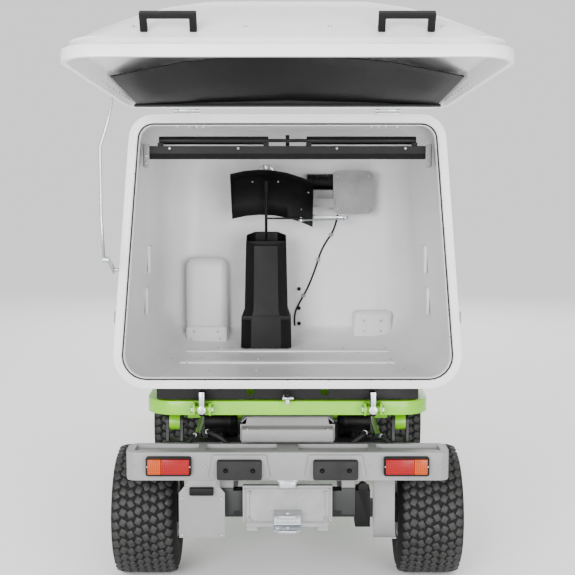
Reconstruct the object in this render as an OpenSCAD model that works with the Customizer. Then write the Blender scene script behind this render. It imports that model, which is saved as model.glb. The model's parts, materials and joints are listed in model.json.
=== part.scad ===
// Ride-on sweeper with a high-dump hopper, as separate sub-parts.
// Millimetres, +Z up, +Y forward, +X to the machine's right-hand side.

/* [Hopper] */
// Half width of the hopper rim at the top, over the flange
rim_top_half = 565; // [500:5:620]
// Half width of the hopper rim at its widest, near the bottom
rim_low_half = 632; // [560:2:660]
// Height of the lower edge of the rim above the ground
rim_low_z = 808; // [806:1:860]
// Height of the rim from lower to upper edge
rim_h = 987; // [800:1:1100]
// Depth of the hopper from the rim face to the outside of the front wall
hopper_depth = 1100; // [900:10:1120]
// Wall thickness of the moulded hopper
hopper_wall = 8; // [5:1:12]
// Width of the rim flange
flange_w = 40; // [30:1:60]
// Thickness of the rim flange
flange_t = 30; // [20:1:40]
// Radius of the upright and floor corners at the front wall
front_round = 150; // [60:5:190]
// Width of the grass and leaf duct where it stands on the floor
duct_w = 218; // [140:2:260]
// Height of the duct column inside the hopper
duct_h = 470; // [300:10:520]

/* [Lid] */
// Thickness of the lid flange
lid_flange_t = 34; // [20:1:45]
// Bulge of the lid dome above its flange face
lid_dome = 250; // [120:5:300]
// Wall thickness of the lid
lid_wall = 6; // [4:1:10]
// Angle the lid stands open from its closed position
lid_open = 95.5; // [60:1:105]
// Length of each pull handle
handle_l = 155; // [100:5:200]
// Diameter of the lid stay rod
stay_d = 10; // [6:1:14]

/* [Lift] */
// Length of the main lift arms between pins
arm_l = 860; // [700:10:900]
// Diameter of the cradle tube
cradle_tube = 50; // [30:2:60]
// Half width over the cradle loop
cradle_half = 520; // [470:5:560]
// Diameter of the hopper tipping pins
tip_pin_d = 24; // [16:1:30]
// Diameter of the lift pivot pins
lift_pin_d = 30; // [20:1:36]
// Running clearance of every pin in its bore, on the diameter
fit = 1; // [0.6:0.1:2]

/* [Chassis] */
// Width of each main rail
rail_w = 50; // [40:2:60]
// Height of each main rail
rail_h = 100; // [80:5:120]
// Distance between the middles of the rails
rail_gap = 450; // [420:5:480]
// Half width of the rear bumper
bumper_half = 590; // [480:5:640]
// Height of the rear bumper
bumper_h = 104; // [80:2:120]
// Bore of the tow pin through both hitch plates
tow_bore = 20; // [16:1:26]
// Width of the number plate
plate_w = 168; // [120:2:180]
// Length of each tail lamp
lamp_l = 165; // [120:5:180]

/* [Wheels] */
// Outside diameter of the rear tyres
rear_tyre_d = 508; // [440:2:512]
// Width of the rear tyres
rear_tyre_w = 250; // [180:5:260]
// Distance between the middles of the rear tyres
rear_track = 1104; // [1090:2:1180]
// Outside diameter of the front tyres
front_tyre_d = 610; // [540:5:620]
// Width of the front tyres
front_tyre_w = 290; // [220:5:300]
// Distance between the middles of the front tyres
front_track = 1070; // [1060:5:1120]
// Distance between the axles
wheelbase = 1550; // [1500:5:1600]

/* [Operator station] */
// Width of the seat cushion
seat_w = 460; // [380:5:500]
// Depth of the seat cushion
seat_d = 420; // [360:5:440]
// Diameter of the steering wheel
steer_d = 360; // [300:5:380]
// Height of the roll bar above the ground
rops_h = 2050; // [1900:10:2150]

/* [Sweeping head] */
// Half width of the sweeping head
head_half = 660; // [560:5:670]
// Diameter of the roller brush
brush_d = 360; // [300:5:370]
// Diameter of the caster wheels
caster_d = 230; // [180:5:240]

/* [Hidden] */

// rim plane, hopper ends and lid hinge line
rim_y = -1180;
rim_top = rim_low_z + rim_h;
hop_front = rim_y + hopper_depth;
hinge_y = rim_y - 3;
hinge_z = rim_top + 13;
hinge_x = 355;
lid_gap = 6;
lip_w = 15;
lip_step = 10;
mid_z = rim_low_z + rim_h / 2;
floor_d = 14 + hopper_wall;
floor_z = rim_low_z + floor_d;
// tipping pins and lift pivots
tip_y = rim_y - 6;
tip_z = rim_low_z - 74;
tip_x = 310;
lift_y = -960;
lift_z = 640;
arm_x = 430;
link_dy = 90;
link_dz = -90;
front_pin_y = lift_y + arm_l;
cradle_z = rim_low_z - 77;
cradle_r = cradle_tube / 2;
// chassis
rail_z = 330;
rail_top = rail_z + rail_h;
rail_x = rail_gap / 2;
rear_axle_y = -800;
front_axle_y = rear_axle_y + wheelbase;
king_x = 392;
bumper_z = 474;
bumper_y = -1205;
hitch_y = -1180;
// duct
duct_x = -92;
duct_y = -310;
hood_x = -92;
hood_y = -310;
hood_z = 1400;
lev_x = 105;
lev_y = -175;
wall_y = hop_front - hopper_wall;
// lid stay
stay_dy = -118.5;
stay_dz = 45;
stay_len = 567;
lever_y = rim_y + 15;
lever_z = hinge_z + stay_dz - stay_len - stay_dz;

function rev(p) = [for (i = [len(p) - 1:-1:0]) p[i]];
function arc_pts(cx, cz, r, a0, n) =
  [for (i = [0:n]) [cx + r * cos(a0 + 90 * i / n), cz + r * sin(a0 + 90 * i / n)]];
// rounded trapezium, every side moved in by d
function outline(ht, hb, z0, z1, rt, rb, d, n = 6) = concat(
  arc_pts(ht - max(rt, d + 6), z1 - max(rt, d + 6), max(rt - d, 6), 0, n),
  arc_pts(-(ht - max(rt, d + 6)), z1 - max(rt, d + 6), max(rt - d, 6), 90, n),
  arc_pts(-(hb - max(rb, d + 6)), z0 + max(rb, d + 6), max(rb - d, 6), 180, n),
  arc_pts(hb - max(rb, d + 6), z0 + max(rb, d + 6), max(rb - d, 6), 270, n));
// hopper section at distance y behind the rim plane, moved in by d
function sec(y, d) = let (t = (y - rim_y) / hopper_depth)
  [for (p = outline(rim_top_half - 10 * t, rim_low_half - 50 * t,
    rim_low_z - 0.7 * max(d - flange_w, 0), rim_top - 5 * t, 90 + 110 * t, 120 + 80 * t, d))
    [p[0], y, p[1]]];
// lid ring in its closed position: share s of the rim outline, height h off the rim plane
function lid_ring(s, h) = [for (p = outline(rim_top_half, rim_low_half, rim_low_z, rim_top, 90,
  120, 0)) [p[0] * s, rim_y - h, mid_z + (p[1] - mid_z) * s]];
function lid_inset(d, h) = [for (p = outline(rim_top_half, rim_low_half, rim_low_z, rim_top, 90,
  120, d)) [p[0], rim_y - h, p[1]]];
function dome(s) = lid_gap + 52 + (lid_dome - 58) * (1 - pow(min(s / 0.97, 1), 2.2));
// rectangle with rounded corners in a plane, as points
function rrect(w, h, r, n = 4) = concat(
  arc_pts(w / 2 - r, h / 2 - r, r, 0, n), arc_pts(-(w / 2 - r), h / 2 - r, r, 90, n),
  arc_pts(-(w / 2 - r), -(h / 2 - r), r, 180, n), arc_pts(w / 2 - r, -(h / 2 - r), r, 270, n));
// octagon-like ring with chamfer c at height z, listed clockwise from above
function oct_ring(cx, cy, w, d, c, z, k = 0) = [for (p = [
  [c - w / 2, d / 2], [w / 2 - c, d / 2], [w / 2, d / 2 - c], [w / 2, c - d / 2],
  [w / 2 - c, -d / 2], [c - w / 2, -d / 2], [-w / 2, c - d / 2], [-w / 2, d / 2 - c]])
  [cx + p[0], cy + p[1], z + k * p[1]]];

module loft(rings, loop = false) {
  n = len(rings[0]);
  m = len(rings);
  sides = [for (k = [0:m - (loop ? 1 : 2)]) for (i = [0:n - 1])
    let (a = k * n + i, b = k * n + (i + 1) % n, c = ((k + 1) % m) * n + (i + 1) % n,
    d = ((k + 1) % m) * n + i) each [[a, b, c], [a, c, d]]];
  caps = loop ? [] : [[for (i = [n - 1:-1:0]) i], [for (i = [0:n - 1]) (m - 1) * n + i]];
  polyhedron(points = [for (r = rings) each r], faces = concat(sides, caps), convexity = 8);
}
// round rod of diameter d swept along a path that stays near a plane of constant y
function path_dir(p, i) = let (n = len(p) - 1,
  v = i == 0 ? p[1] - p[0] : i == n ? p[n] - p[n - 1]
    : (p[i + 1] - p[i]) / norm(p[i + 1] - p[i]) + (p[i] - p[i - 1]) / norm(p[i] - p[i - 1])) v / norm(v);
module swept(p, d, n = 12) {
  loft([for (i = [0:len(p) - 1]) let (t = path_dir(p, i), w = cross([0, 1, 0], t), u = cross(t, w))
    [for (k = [0:n - 1]) p[i] + d / 2 * (cos(360 * k / n) * u + sin(360 * k / n) * w)]]);
}
// round bar from p to q
module bar(p, q, d, fn = 24) {
  v = q - p;
  translate(p)
    rotate([0, acos(v[2] / norm(v)), atan2(v[1], v[0])])
      cylinder(h = norm(v), d = d, $fn = fn);
}
// bar or ring along X, centred on c
module xrod(c, l, d, fn = 32) {
  translate([c[0] - l / 2, c[1], c[2]])
    rotate([0, 90, 0])
      cylinder(h = l, d = d, $fn = fn);
}
module yrod(c, l, d, fn = 32) {
  translate([c[0], c[1] + l / 2, c[2]])
    rotate([90, 0, 0])
      cylinder(h = l, d = d, $fn = fn);
}
module box(x0, x1, y0, y1, z0, z1) {
  translate([x0, y0, z0])
    cube([x1 - x0, y1 - y0, z1 - z0]);
}
// flat plate in the YZ plane between x0 and x1
module yz_plate(pts, x0, x1) {
  translate([x0, 0, 0])
    rotate([90, 0, 90])
      linear_extrude(x1 - x0)
        polygon(pts);
}
// flat plate in the XZ plane between y0 and y1
module xz_plate(pts, y0, y1) {
  translate([0, y1, 0])
    rotate([90, 0, 0])
      linear_extrude(y1 - y0)
        polygon(pts);
}
module both() {
  children();
  mirror([1, 0, 0])
    children();
}
// places a closed-lid shape at the open rest position
module on_lid() {
  translate([0, hinge_y, hinge_z])
    rotate([-lid_open, 0, 0])
      translate([0, -hinge_y, -hinge_z])
        children();
}

// ---- hopper body ----
module hopper_shell() {
  yi = hop_front - hopper_wall;
  r = front_round;
  ro = front_round + hopper_wall;
  inner = concat(
    [for (a = [0:22.5:90]) sec(yi - r * (1 - cos(a)), floor_d + r * (1 - sin(a)))],
    [sec(rim_y + 0.45 * hopper_depth, floor_d), sec(rim_y + flange_t, floor_d),
     sec(rim_y + flange_t, flange_w), sec(rim_y, flange_w)]);
  outer = concat(
    [sec(rim_y, 0), sec(rim_y + flange_t, 0), sec(rim_y + flange_t, 14),
     sec(rim_y + 0.45 * hopper_depth, 14)],
    [for (a = [90:-22.5:0]) sec(hop_front - ro * (1 - cos(a)), 14 + ro * (1 - sin(a)))]);
  color("white")
    difference() {
      loft(concat(inner, outer));
      box(duct_x - duct_w / 2 + 12, duct_x + duct_w / 2 - 12, duct_y - 130, duct_y + 130,
        rim_low_z, floor_z + 20);
    }
}
module rim_seal() {
  color("dimgray")
    loft([sec(rim_y - 0.2, flange_w - 2), [for (p = sec(rim_y - 0.2, flange_w - 2)) p + [0, -5, 0]],
      [for (p = sec(rim_y - 0.2, flange_w - 8)) p + [0, -5, 0]],
      sec(rim_y - 0.2, flange_w - 8)], loop = true);
}
module hopper_underframe() {
  z1 = rim_low_z + 14;
  color("black")
    difference() {
      union() {
        both()
          box(290, 340, rim_y + 42, hop_front - 190, rim_low_z - 46, z1 - 0.3);
        both()
          box(440, 480, rim_y + 42, hop_front - 200, rim_low_z - 46, z1 - 0.3);
        box(-480, 480, rim_y + 42, rim_y + 48, rim_low_z - 46, z1 - 0.3);
        box(-480, 480, rim_y + 420, rim_y + 470, rim_low_z - 46, z1 - 0.3);
        box(-480, 480, hop_front - 250, hop_front - 200, rim_low_z - 46, z1 - 0.3);
        both() {
          yz_plate([[tip_y - 24, tip_z], [tip_y - 24, rim_low_z - 40], [tip_y - 4, rim_low_z - 14],
            [rim_y + 60, rim_low_z - 14], [rim_y + 60, rim_low_z - 46], [tip_y + 24, rim_low_z - 46],
            [tip_y + 24, tip_z]], tip_x - 9, tip_x + 9);
          xrod([tip_x, tip_y, tip_z], 18, 52, 48);
        }
      }
      both()
        xrod([tip_x, tip_y, tip_z], 40, tip_pin_d + fit, 48);
      both()
        yrod([136, rim_y + 45, rim_low_z - 18], 40, 30);
      box(duct_x - duct_w / 2 - 4, duct_x + duct_w / 2 + 4, duct_y - 140, duct_y + 140,
        rim_low_z - 60, rim_low_z + 30);
    }
}
module top_beam() {
  z0 = rim_top - 138;
  color("black")
    union() {
      xz_plate([[-520, z0], [520, z0], [516, z0 + 28], [-516, z0 + 28]], rim_y + 110, rim_y + 116);
      box(-516, 516, rim_y + 116, rim_y + 190, z0 + 22, z0 + 28);
      box(-520, 520, rim_y + 184, rim_y + 190, z0 - 20, z0 + 22);
      both()
        box(510, 520, rim_y + 116, rim_y + 184, z0 - 20, z0 + 22);
    }
  color("silver")
    both()
      box(520, 526, rim_y + 116, rim_y + 184, z0 - 44, z0 + 22);
}
module gas_struts() {
  z = rim_top - 90;
  color("black")
    both() {
      xrod([270, rim_y + 132, z], 400, 30);
      box(455, 475, rim_y + 120, rim_y + 144, rim_top - 110, z - 8);
      box(68, 88, rim_y + 120, rim_y + 144, rim_top - 110, z - 8);
    }
  color("silver")
    union() {
      xrod([0, rim_y + 132, z], 150, 12);
      xrod([0, rim_y + 132, z], 14, 40);
    }
}
module duct_column() {
  w = duct_w;
  z = floor_z + 0.3;
  o = [[w, 190, 44, 0, 0], [w - 4, 188, 44, 0.28, 0], [w - 32, 172, 40, 0.36, 0],
    [w - 46, 156, 36, 1, 0.33]];
  color("black")
    union() {
      loft(concat(
        [for (k = o) oct_ring(duct_x, duct_y, k[0], k[1], k[2], z + k[3] * duct_h, k[4])],
        [for (i = [3:-1:0]) let (k = o[i])
          oct_ring(duct_x, duct_y, k[0] - 8, k[1] - 8, k[2] - 2, z + k[3] * duct_h, k[4])]),
        loop = true);
      box(duct_x - w / 2 + 25, duct_x + w / 2 - 25, duct_y - 7, duct_y + 7, z + duct_h - 40,
        floor_z + duct_h - 10.3);
    }
}
// curved vane of the deflector, swung about its upright rod
function vane(x, r) = [for (a = [0:16:80]) [hood_x + x, hood_y + 60 - 200 + r * cos(a),
  hood_z + r * sin(a) - 0.0011 * pow(x + 20, 2)]];
module deflector_hood() {
  color("black")
    difference() {
      union() {
        loft([for (x = [-150, -90, -30, 30, 90, 150, 202])
          rev(concat(vane(x, 200), rev(vane(x, 196))))]);
        translate([hood_x, hood_y, floor_z + duct_h - 10])
          cylinder(h = hood_z + 216 - floor_z - duct_h, d = 12, $fn = 32);
        translate([hood_x, hood_y, hood_z + 90])
          cylinder(h = 70, d = 26, $fn = 32);
        box(hood_x, hood_x + 165, hood_y - 32, hood_y + 30, hood_z - 16, hood_z - 10);
        box(hood_x + 100, hood_x + 165, hood_y + 30, hood_y + 58, hood_z - 16, hood_z - 10);
        box(hood_x + 100, hood_x + 165, hood_y + 54, hood_y + 58, hood_z - 16, hood_z + 20);
      }
      translate([hood_x + 150, hood_y - 20, hood_z - 20])
        cylinder(h = 14, d = 8 + fit, $fn = 24);
    }
}
module hood_link() {
  z = hood_z - 23;
  p = [hood_x + 150, hood_y - 20];
  q = [lev_x + 150, lev_y - 20];
  v = (q - p) / norm(q - p) * 9;
  n = [-v[1], v[0]];
  color("silver")
    union() {
      translate([0, 0, z])
        linear_extrude(5)
          polygon([p - n, q - n, q + n, p + n]);
      for (c = [p, q]) {
        translate([c[0], c[1], z - 2])
          cylinder(h = 8.7, d = 24, $fn = 32);
        translate([c[0], c[1], z])
          cylinder(h = 16, d = 8, $fn = 24);
      }
    }
}
module hood_lever() {
  z = hood_z - 16;
  a = atan2(-20, 150);
  color("silver")
    difference() {
      union() {
        translate([lev_x, lev_y, z])
          rotate([0, 0, a])
            translate([0, -10, 0])
              cube([norm([150, 20]), 20, 6]);
        translate([lev_x, lev_y, z])
          cylinder(h = 14, d = 34, $fn = 32);
        translate([lev_x + 150, lev_y - 20, z])
          cylinder(h = 6, d = 26, $fn = 32);
      }
      translate([lev_x + 150, lev_y - 20, z - 1])
        cylinder(h = 8, d = 8 + fit, $fn = 24);
      translate([lev_x, lev_y, z - 1])
        cylinder(h = 16, d = 16 + fit, $fn = 32);
    }
}
module hood_bracket() {
  z = hood_z + 190;
  color("silver")
    difference() {
      union() {
        box(hood_x - 14, hood_x + 14, hood_y, wall_y - 0.3, z + 10, z + 18);
        box(hood_x - 30, hood_x + 30, wall_y - 6.3, wall_y - 0.3, z - 24, z + 18);
        translate([hood_x, hood_y, z])
          cylinder(h = 28, d = 36, $fn = 32);
      }
      translate([hood_x, hood_y, z - 1])
        cylinder(h = 30, d = 12 + fit, $fn = 32);
    }
}
module gearmotor() {
  color("lightgray")
    union() {
      xz_plate([for (p = rrect(176, 190, 26)) p + [290, hood_z + 95]], wall_y - 92, wall_y - 0.3);
      box(108, 206, wall_y - 76, wall_y - 0.3, hood_z + 46, hood_z + 106);
      xrod([150, wall_y - 42, hood_z + 142], 120, 64, 48);
      box(lev_x - 26, 206, lev_y - 24, wall_y - 30, hood_z + 30, hood_z + 70);
      translate([lev_x, lev_y, hood_z - 22])
        cylinder(h = 60, d = 16, $fn = 32);
    }
}
module motor_cable() {
  y = wall_y - 4.3;
  p = [[225, 1394], [222, 1370], [204, 1315], [172, 1269], [148, 1224], [126, 1150], [92, 1062],
    [54, 996], [36, 955], [31, 925], [33, 890]];
  color("black")
    swept([for (k = p) [k[0], y, k[1]]], 8);
}

// ---- lid body and its stay ----
module hinge_leaves() {
  color("silver")
    both()
      union() {
        box(hinge_x - 45, hinge_x + 45, rim_y + 2, rim_y + 27, rim_top + 0.3, rim_top + 4.3);
        for (x = [-38, 38])
          translate([hinge_x + x, 0, 0])
            difference() {
              union() {
                xrod([0, hinge_y, hinge_z], 14, 16);
                yz_plate([[hinge_y, hinge_z + 7], [rim_y + 20, rim_top + 1], [rim_y + 3, rim_top + 1],
                  [hinge_y + 2, hinge_z - 6]], -7, 7);
              }
            }
        xrod([hinge_x, hinge_y, hinge_z], 84, 8);
      }
}
module lid_hinges() {
  color("silver")
    on_lid()
      both()
        difference() {
          union() {
            xrod([hinge_x, hinge_y, hinge_z], 58, 16);
            box(hinge_x - 29, hinge_x + 29, rim_y - 34, hinge_y - 4, rim_top + 0.3, rim_top + 4.3);
            box(hinge_x - 29, hinge_x + 29, hinge_y - 7, hinge_y - 3, rim_top + 0.3, hinge_z);
          }
          xrod([hinge_x, hinge_y, hinge_z], 60, 8 + fit);
        }
}
module lid_shell() {
  s = [0.25, 0.42, 0.58, 0.72, 0.84, 0.92];
  f = lid_gap + lid_flange_t;
  a = lid_open;
  py = hinge_y + stay_dy * cos(a) - stay_dz * sin(a);
  pz = hinge_z + stay_dy * sin(a) + stay_dz * cos(a);
  color("white")
    on_lid() {
      xrod([-576, py, pz], 33.4, 18);
      loft(concat(
        [for (k = s) rev(lid_ring(k, dome(k) - lid_wall))],
        [rev(lid_inset(lip_w + 9, dome(0.92) - lid_wall - 8)), rev(lid_inset(lip_w, lid_gap)),
         rev(lid_inset(0, lid_gap)), rev(lid_inset(0, f)), rev(lid_inset(lip_step, f + 4)),
         rev(lid_ring(0.965, f + 20))],
        [for (i = [5:-1:0]) rev(lid_ring(s[i], dome(s[i])))]));
    }
}
// folded screen held inside the lid
module lid_liner() {
  x = [-1, -0.58, 0, 0.58, 1];
  a = [14, 22, 30, 22, 14];
  b = [46, 92, 122, 92, 46];
  color("black")
    on_lid()
      loft([for (i = [0:4]) rev([
        [x[i] * 524, rim_y - a[i], rim_top - 40], [x[i] * 560, rim_y - b[i], rim_top - 430],
        [x[i] * 560, rim_y - b[i] - 4, rim_top - 430], [x[i] * 524, rim_y - a[i] - 4, rim_top - 40]])]);
}
// outside of the lid as a closed solid, grown by e
module lid_outside(e) {
  f = lid_gap + lid_flange_t;
  s = [0.92, 0.84, 0.72, 0.58, 0.42, 0.25];
  loft(concat([rev(lid_inset(0, lid_gap)), rev(lid_inset(0, f + e)), rev(lid_inset(lip_step, f + 4 + e)),
    rev(lid_ring(0.965, f + 20 + e))],
    [for (k = s) rev(lid_ring(k, dome(k) + e))]));
}
module lid_handles() {
  color("black")
    on_lid()
      both()
        difference() {
          translate([324, rim_y - 84, rim_low_z + 46])
            rotate([40, 0, 0])
              union() {
                box(-handle_l / 2, handle_l / 2, -56, -40, -10, 10);
                for (x = [-1, 1])
                  box(x * (handle_l / 2 - 10) - 10, x * (handle_l / 2 - 10) + 10, -56, 22, -10, 10);
              }
          lid_outside(0.3);
        }
}
module lid_rod() {
  d = stay_d;
  p = [[-600, hinge_y + stay_dy, hinge_z + stay_dz], [-618, hinge_y + stay_dy, hinge_z - 40],
    [-648, hinge_y + stay_dy + 4, hinge_z - 130], [-650, lever_y + stay_dy, lever_z + 200],
    [-642, lever_y + stay_dy, lever_z + stay_dz]];
  color("silver")
    union() {
      swept(p, d);
      xrod([-600, p[0][1], p[0][2]], 14, 20);
      xrod([-639, p[4][1], p[4][2]], 17.4, 20);
    }
}
module lid_lever() {
  c = [lever_y, lever_z];
  q = [lever_y + stay_dy, lever_z + stay_dz];
  color("silver")
    difference() {
      union() {
        yz_plate([c + [4, 13], c + [-4, -13], q + [-4, -11], q + [4, 11]], -630, -624);
        xrod([-627, c[0], c[1]], 6, 30);
        xrod([-627, q[0], q[1]], 6, 24);
        xrod([-616.3, c[0], c[1]], 21.4, 14);
      }
    }
}

// ---- lift and cradle ----
module lift_arms() {
  color("limegreen")
    difference() {
      union() {
        both() {
          box(arm_x - 20, arm_x + 20, lift_y, front_pin_y, lift_z - 28, lift_z + 28);
          xrod([arm_x, lift_y, lift_z], 40, 64, 48);
          xrod([arm_x, front_pin_y, lift_z], 40, 64, 48);
        }
        xrod([0, lift_y + 0.72 * arm_l, lift_z], 2 * arm_x - 10, 56, 48);
      }
      both() {
        xrod([arm_x, lift_y, lift_z], 60, lift_pin_d + fit, 48);
        xrod([arm_x, front_pin_y, lift_z], 60, lift_pin_d + fit, 48);
      }
    }
}
module lift_links() {
  y = lift_y + link_dy;
  z = lift_z + link_dz;
  color("limegreen")
    difference() {
      union() {
        both() {
          box(arm_x - 85, arm_x - 65, y, y + arm_l, z - 15, z + 15);
          xrod([arm_x - 75, y, z], 20, 44, 48);
          xrod([arm_x - 75, y + arm_l, z], 20, 44, 48);
        }
        xrod([0, y + 0.86 * arm_l, z], 2 * (arm_x - 80), 26, 32);
      }
      both() {
        xrod([arm_x - 75, y, z], 40, 20 + fit, 32);
        xrod([arm_x - 75, y + arm_l, z], 40, 20 + fit, 32);
      }
    }
}
module cradle_loop() {
  yb = rim_y + 25;
  yf = hop_front - 70;
  ym = (yb + yf) / 2;
  h = cradle_tube;
  ly = lift_y + link_dy + arm_l;
  lz = lift_z + link_dz;
  color("limegreen")
    difference() {
      union() {
        translate([0, ym, cradle_z - h / 2])
          linear_extrude(h)
            difference() {
              polygon(rrect(2 * cradle_half, yf - yb, 110, 8));
              polygon(rrect(2 * cradle_half - 2 * h, yf - yb - 2 * h, 62, 8));
            }
        both() {
          for (x = [-29, 29]) {
            yz_plate([[yb + 2, cradle_z - 24], [yb + 2, cradle_z + 24], [tip_y - 4, tip_z + 22],
              [tip_y - 4, tip_z - 22]], tip_x + x - 4, tip_x + x + 4);
            xrod([tip_x + x, tip_y, tip_z], 8, 48, 40);
          }
          xrod([tip_x, tip_y, tip_z], 84, tip_pin_d, 40);
          for (x = [-27, 27]) {
            yz_plate([[yf - 60, cradle_z - 22], [yf, cradle_z + 20], [front_pin_y + 34, lift_z],
              [front_pin_y + 20, lift_z - 30], [front_pin_y - 30, lift_z - 20]],
              arm_x + x - 5, arm_x + x + 5);
            xrod([arm_x + x, front_pin_y, lift_z], 10, 70, 48);
          }
          xrod([arm_x, front_pin_y, lift_z], 76, lift_pin_d, 48);
          for (x = [-17, 17]) {
            yz_plate([[yf - 60, cradle_z - 22], [yf, cradle_z + 20], [ly + 22, lz + 4],
              [ly + 4, lz - 22], [ly - 22, lz - 4]], arm_x - 75 + x - 4, arm_x - 75 + x + 4);
            xrod([arm_x - 75 + x, ly, lz], 8, 44, 48);
          }
          xrod([arm_x - 75, ly, lz], 52, 20, 32);
        }
      }
    }
}

// ---- chassis ----
module chassis_frame() {
  ly = lift_y + link_dy;
  lz = lift_z + link_dz;
  color("dimgray")
    union() {
      both() {
        box(rail_x - rail_w / 2, rail_x + rail_w / 2, -1150, 1180, rail_z, rail_top);
        box(rail_x - 25, rail_x + 25, -1010, -930, rail_top, 530);
        for (x = [-27, 27]) {
          box(arm_x + x - 5, arm_x + x + 5, lift_y - 30, lift_y + 30, 560, lift_z);
          xrod([arm_x + x, lift_y, lift_z], 10, 60, 48);
        }
        xrod([arm_x, lift_y, lift_z], 76, lift_pin_d, 48);
        for (x = [-17, 17]) {
          box(arm_x - 75 + x - 4, arm_x - 75 + x + 4, -935, ly, lz - 22, lz + 20);
          xrod([arm_x - 75 + x, ly, lz], 8, 44, 48);
        }
        xrod([arm_x - 75, ly, lz], 52, 20, 32);
        xrod([rail_x + rail_w / 2 + 24, head_y, head_z], 50, 30, 32);
      }
      box(-462, 462, -1010, -930, 520, 570);
      for (y = [-1150, -500, 60, 600, 1120])
        box(-rail_x, rail_x, y, y + 60, rail_z + 15, rail_top - 10);
    }
}
module rear_bumper() {
  b = bumper_half;
  color("lightgray")
    difference() {
      union() {
        translate([0, 0, bumper_z])
          linear_extrude(bumper_h)
            polygon([[-b + 30, bumper_y], [b - 30, bumper_y], [b - 8, bumper_y + 12],
              [b, bumper_y + 40], [b, bumper_y + 120], [b - 20, bumper_y + 148],
              [-b + 20, bumper_y + 148], [-b, bumper_y + 120], [-b, bumper_y + 40],
              [-b + 8, bumper_y + 12]]);
        both()
          xz_plate([[78, bumper_z + 2], [270, bumper_z + 2], [286, bumper_z + 20],
            [270, bumper_z + bumper_h - 8], [78, bumper_z + bumper_h - 8], [64, bumper_z + 20]],
            bumper_y - 10, bumper_y + 5);
      }
      both()
        box(330, b - 30, bumper_y + 36, bumper_y + 130, bumper_z + bumper_h - 14,
          bumper_z + bumper_h + 5);
      both()
        box(40, 300, bumper_y + 36, bumper_y + 130, bumper_z + bumper_h - 14,
          bumper_z + bumper_h + 5);
    }
  color("dimgray")
    both()
      box(rail_x - 25, rail_x + 25, bumper_y + 60, bumper_y + 148, rail_top + 0.3, bumper_z);
}
module rubber_buffers() {
  color("black")
    both()
      xz_plate([for (p = rrect(163, 72, 8)) p + [174, bumper_z + 46]], bumper_y - 40,
        bumper_y - 10.3);
}
module tail_lamp_frames() {
  color("black")
    both()
      difference() {
        xz_plate([for (p = rrect(lamp_l, 70, 8)) p + [431, bumper_z + 56]], bumper_y - 22,
          bumper_y - 0.3);
        box(431 - lamp_l / 2 + 7, 431 + lamp_l / 2 - 7, bumper_y - 30, bumper_y - 6,
          bumper_z + 28, bumper_z + 84);
      }
}
module tail_lens_red() {
  color("red")
    both()
      box(431 - lamp_l / 2 + 7.3, 431 + lamp_l / 6 - 0.3, bumper_y - 28, bumper_y - 6.3,
        bumper_z + 28.3, bumper_z + 83.7);
}
module tail_lens_amber() {
  color("orange")
    both()
      box(431 + lamp_l / 6 + 0.3, 431 + lamp_l / 2 - 7.3, bumper_y - 28, bumper_y - 6.3,
        bumper_z + 28.3, bumper_z + 83.7);
}
module number_plate_holder() {
  w = plate_w / 2;
  color("lightgray")
    union() {
      xz_plate([[-w, 257], [w, 257], [w, 425], [w - 20, 449], [-w + 20, 449], [-w, 425]]
        + [for (i = [0:5]) [-313, 0]], bumper_y + 8, bumper_y + 11);
      box(-366, -260, bumper_y + 8, bumper_y + 11, 445, 472);
      box(-366, -260, bumper_y + 8, bumper_y + 60, 470.7, 473.7);
    }
}
module number_plate_lamp() {
  color("black")
    box(-357, -269, bumper_y - 14, bumper_y + 7.7, 420, 449);
}
module hitch_box() {
  color("lightgray")
    difference() {
      union() {
        xz_plate([[-164, 312], [-144, 292], [144, 292], [164, 312], [164, 447], [-164, 447]],
          hitch_y, hitch_y + 170);
        both()
          box(110, 150, hitch_y + 5, hitch_y + 60, 276, 295);
      }
      xz_plate([[-140, 322], [-128, 308], [128, 308], [140, 322], [140, 425], [-140, 425]],
        hitch_y - 5, hitch_y + 6);
      box(-170, 170, hitch_y + 28, hitch_y + 175, 328, 460);
    }
}
module hitch_plates() {
  color("silver")
    difference() {
      union() {
        for (z = [292, 346])
          translate([0, 0, z])
            linear_extrude(10)
              polygon([[-50, hitch_y - 4], [50, hitch_y - 4], [50, hitch_y - 55],
                [30, hitch_y - 78], [-30, hitch_y - 78], [-50, hitch_y - 55]]);
        box(-50, 50, hitch_y - 4, hitch_y + 5.7, 310, 356);
        box(-50, 50, hitch_y - 4, hitch_y - 0.3, 292, 356);
      }
      translate([0, hitch_y - 46, 280])
        cylinder(h = 90, d = tow_bore, $fn = 48);
    }
}
module engine_cover() {
  color("lightgray")
    union() {
      xz_plate([[-175, 570.3], [175, 570.3], [175, 655], [155, 676], [-155, 676], [-175, 655]],
        -1040, -700);
      xz_plate([[-172, 590], [172, 590], [172, 640], [-172, 640]], -1100, -1040);
    }
}
module engine_block() {
  color("dimgray")
    union() {
      box(-185, 185, -900, -420, rail_top + 0.3, 570);
      box(-150, 150, -690, -420, 560, 640);
      xrod([0, -560, 500], 460, 110, 48);
      yrod([0, -400, 500], 60, 180, 48);
    }
}
module fuel_tank() {
  color("black")
    union() {
      box(250.3, 306, -1145, -1055, 282, 420);
      xrod([280, -1100, 426], 30, 20);
      yrod([278, -1145, 434], 30, 36);
    }
}
module wheel_guard() {
  color("gray")
    translate([0, -1124, 0])
      yz_plate([[-60, 250], [-30, 240], [0, 262], [22, 300], [22, 473.7], [-60, 473.7], [-60, 470],
        [16, 470], [16, 304], [-4, 268], [-30, 247], [-57, 255]], 318, 400);
}
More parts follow.
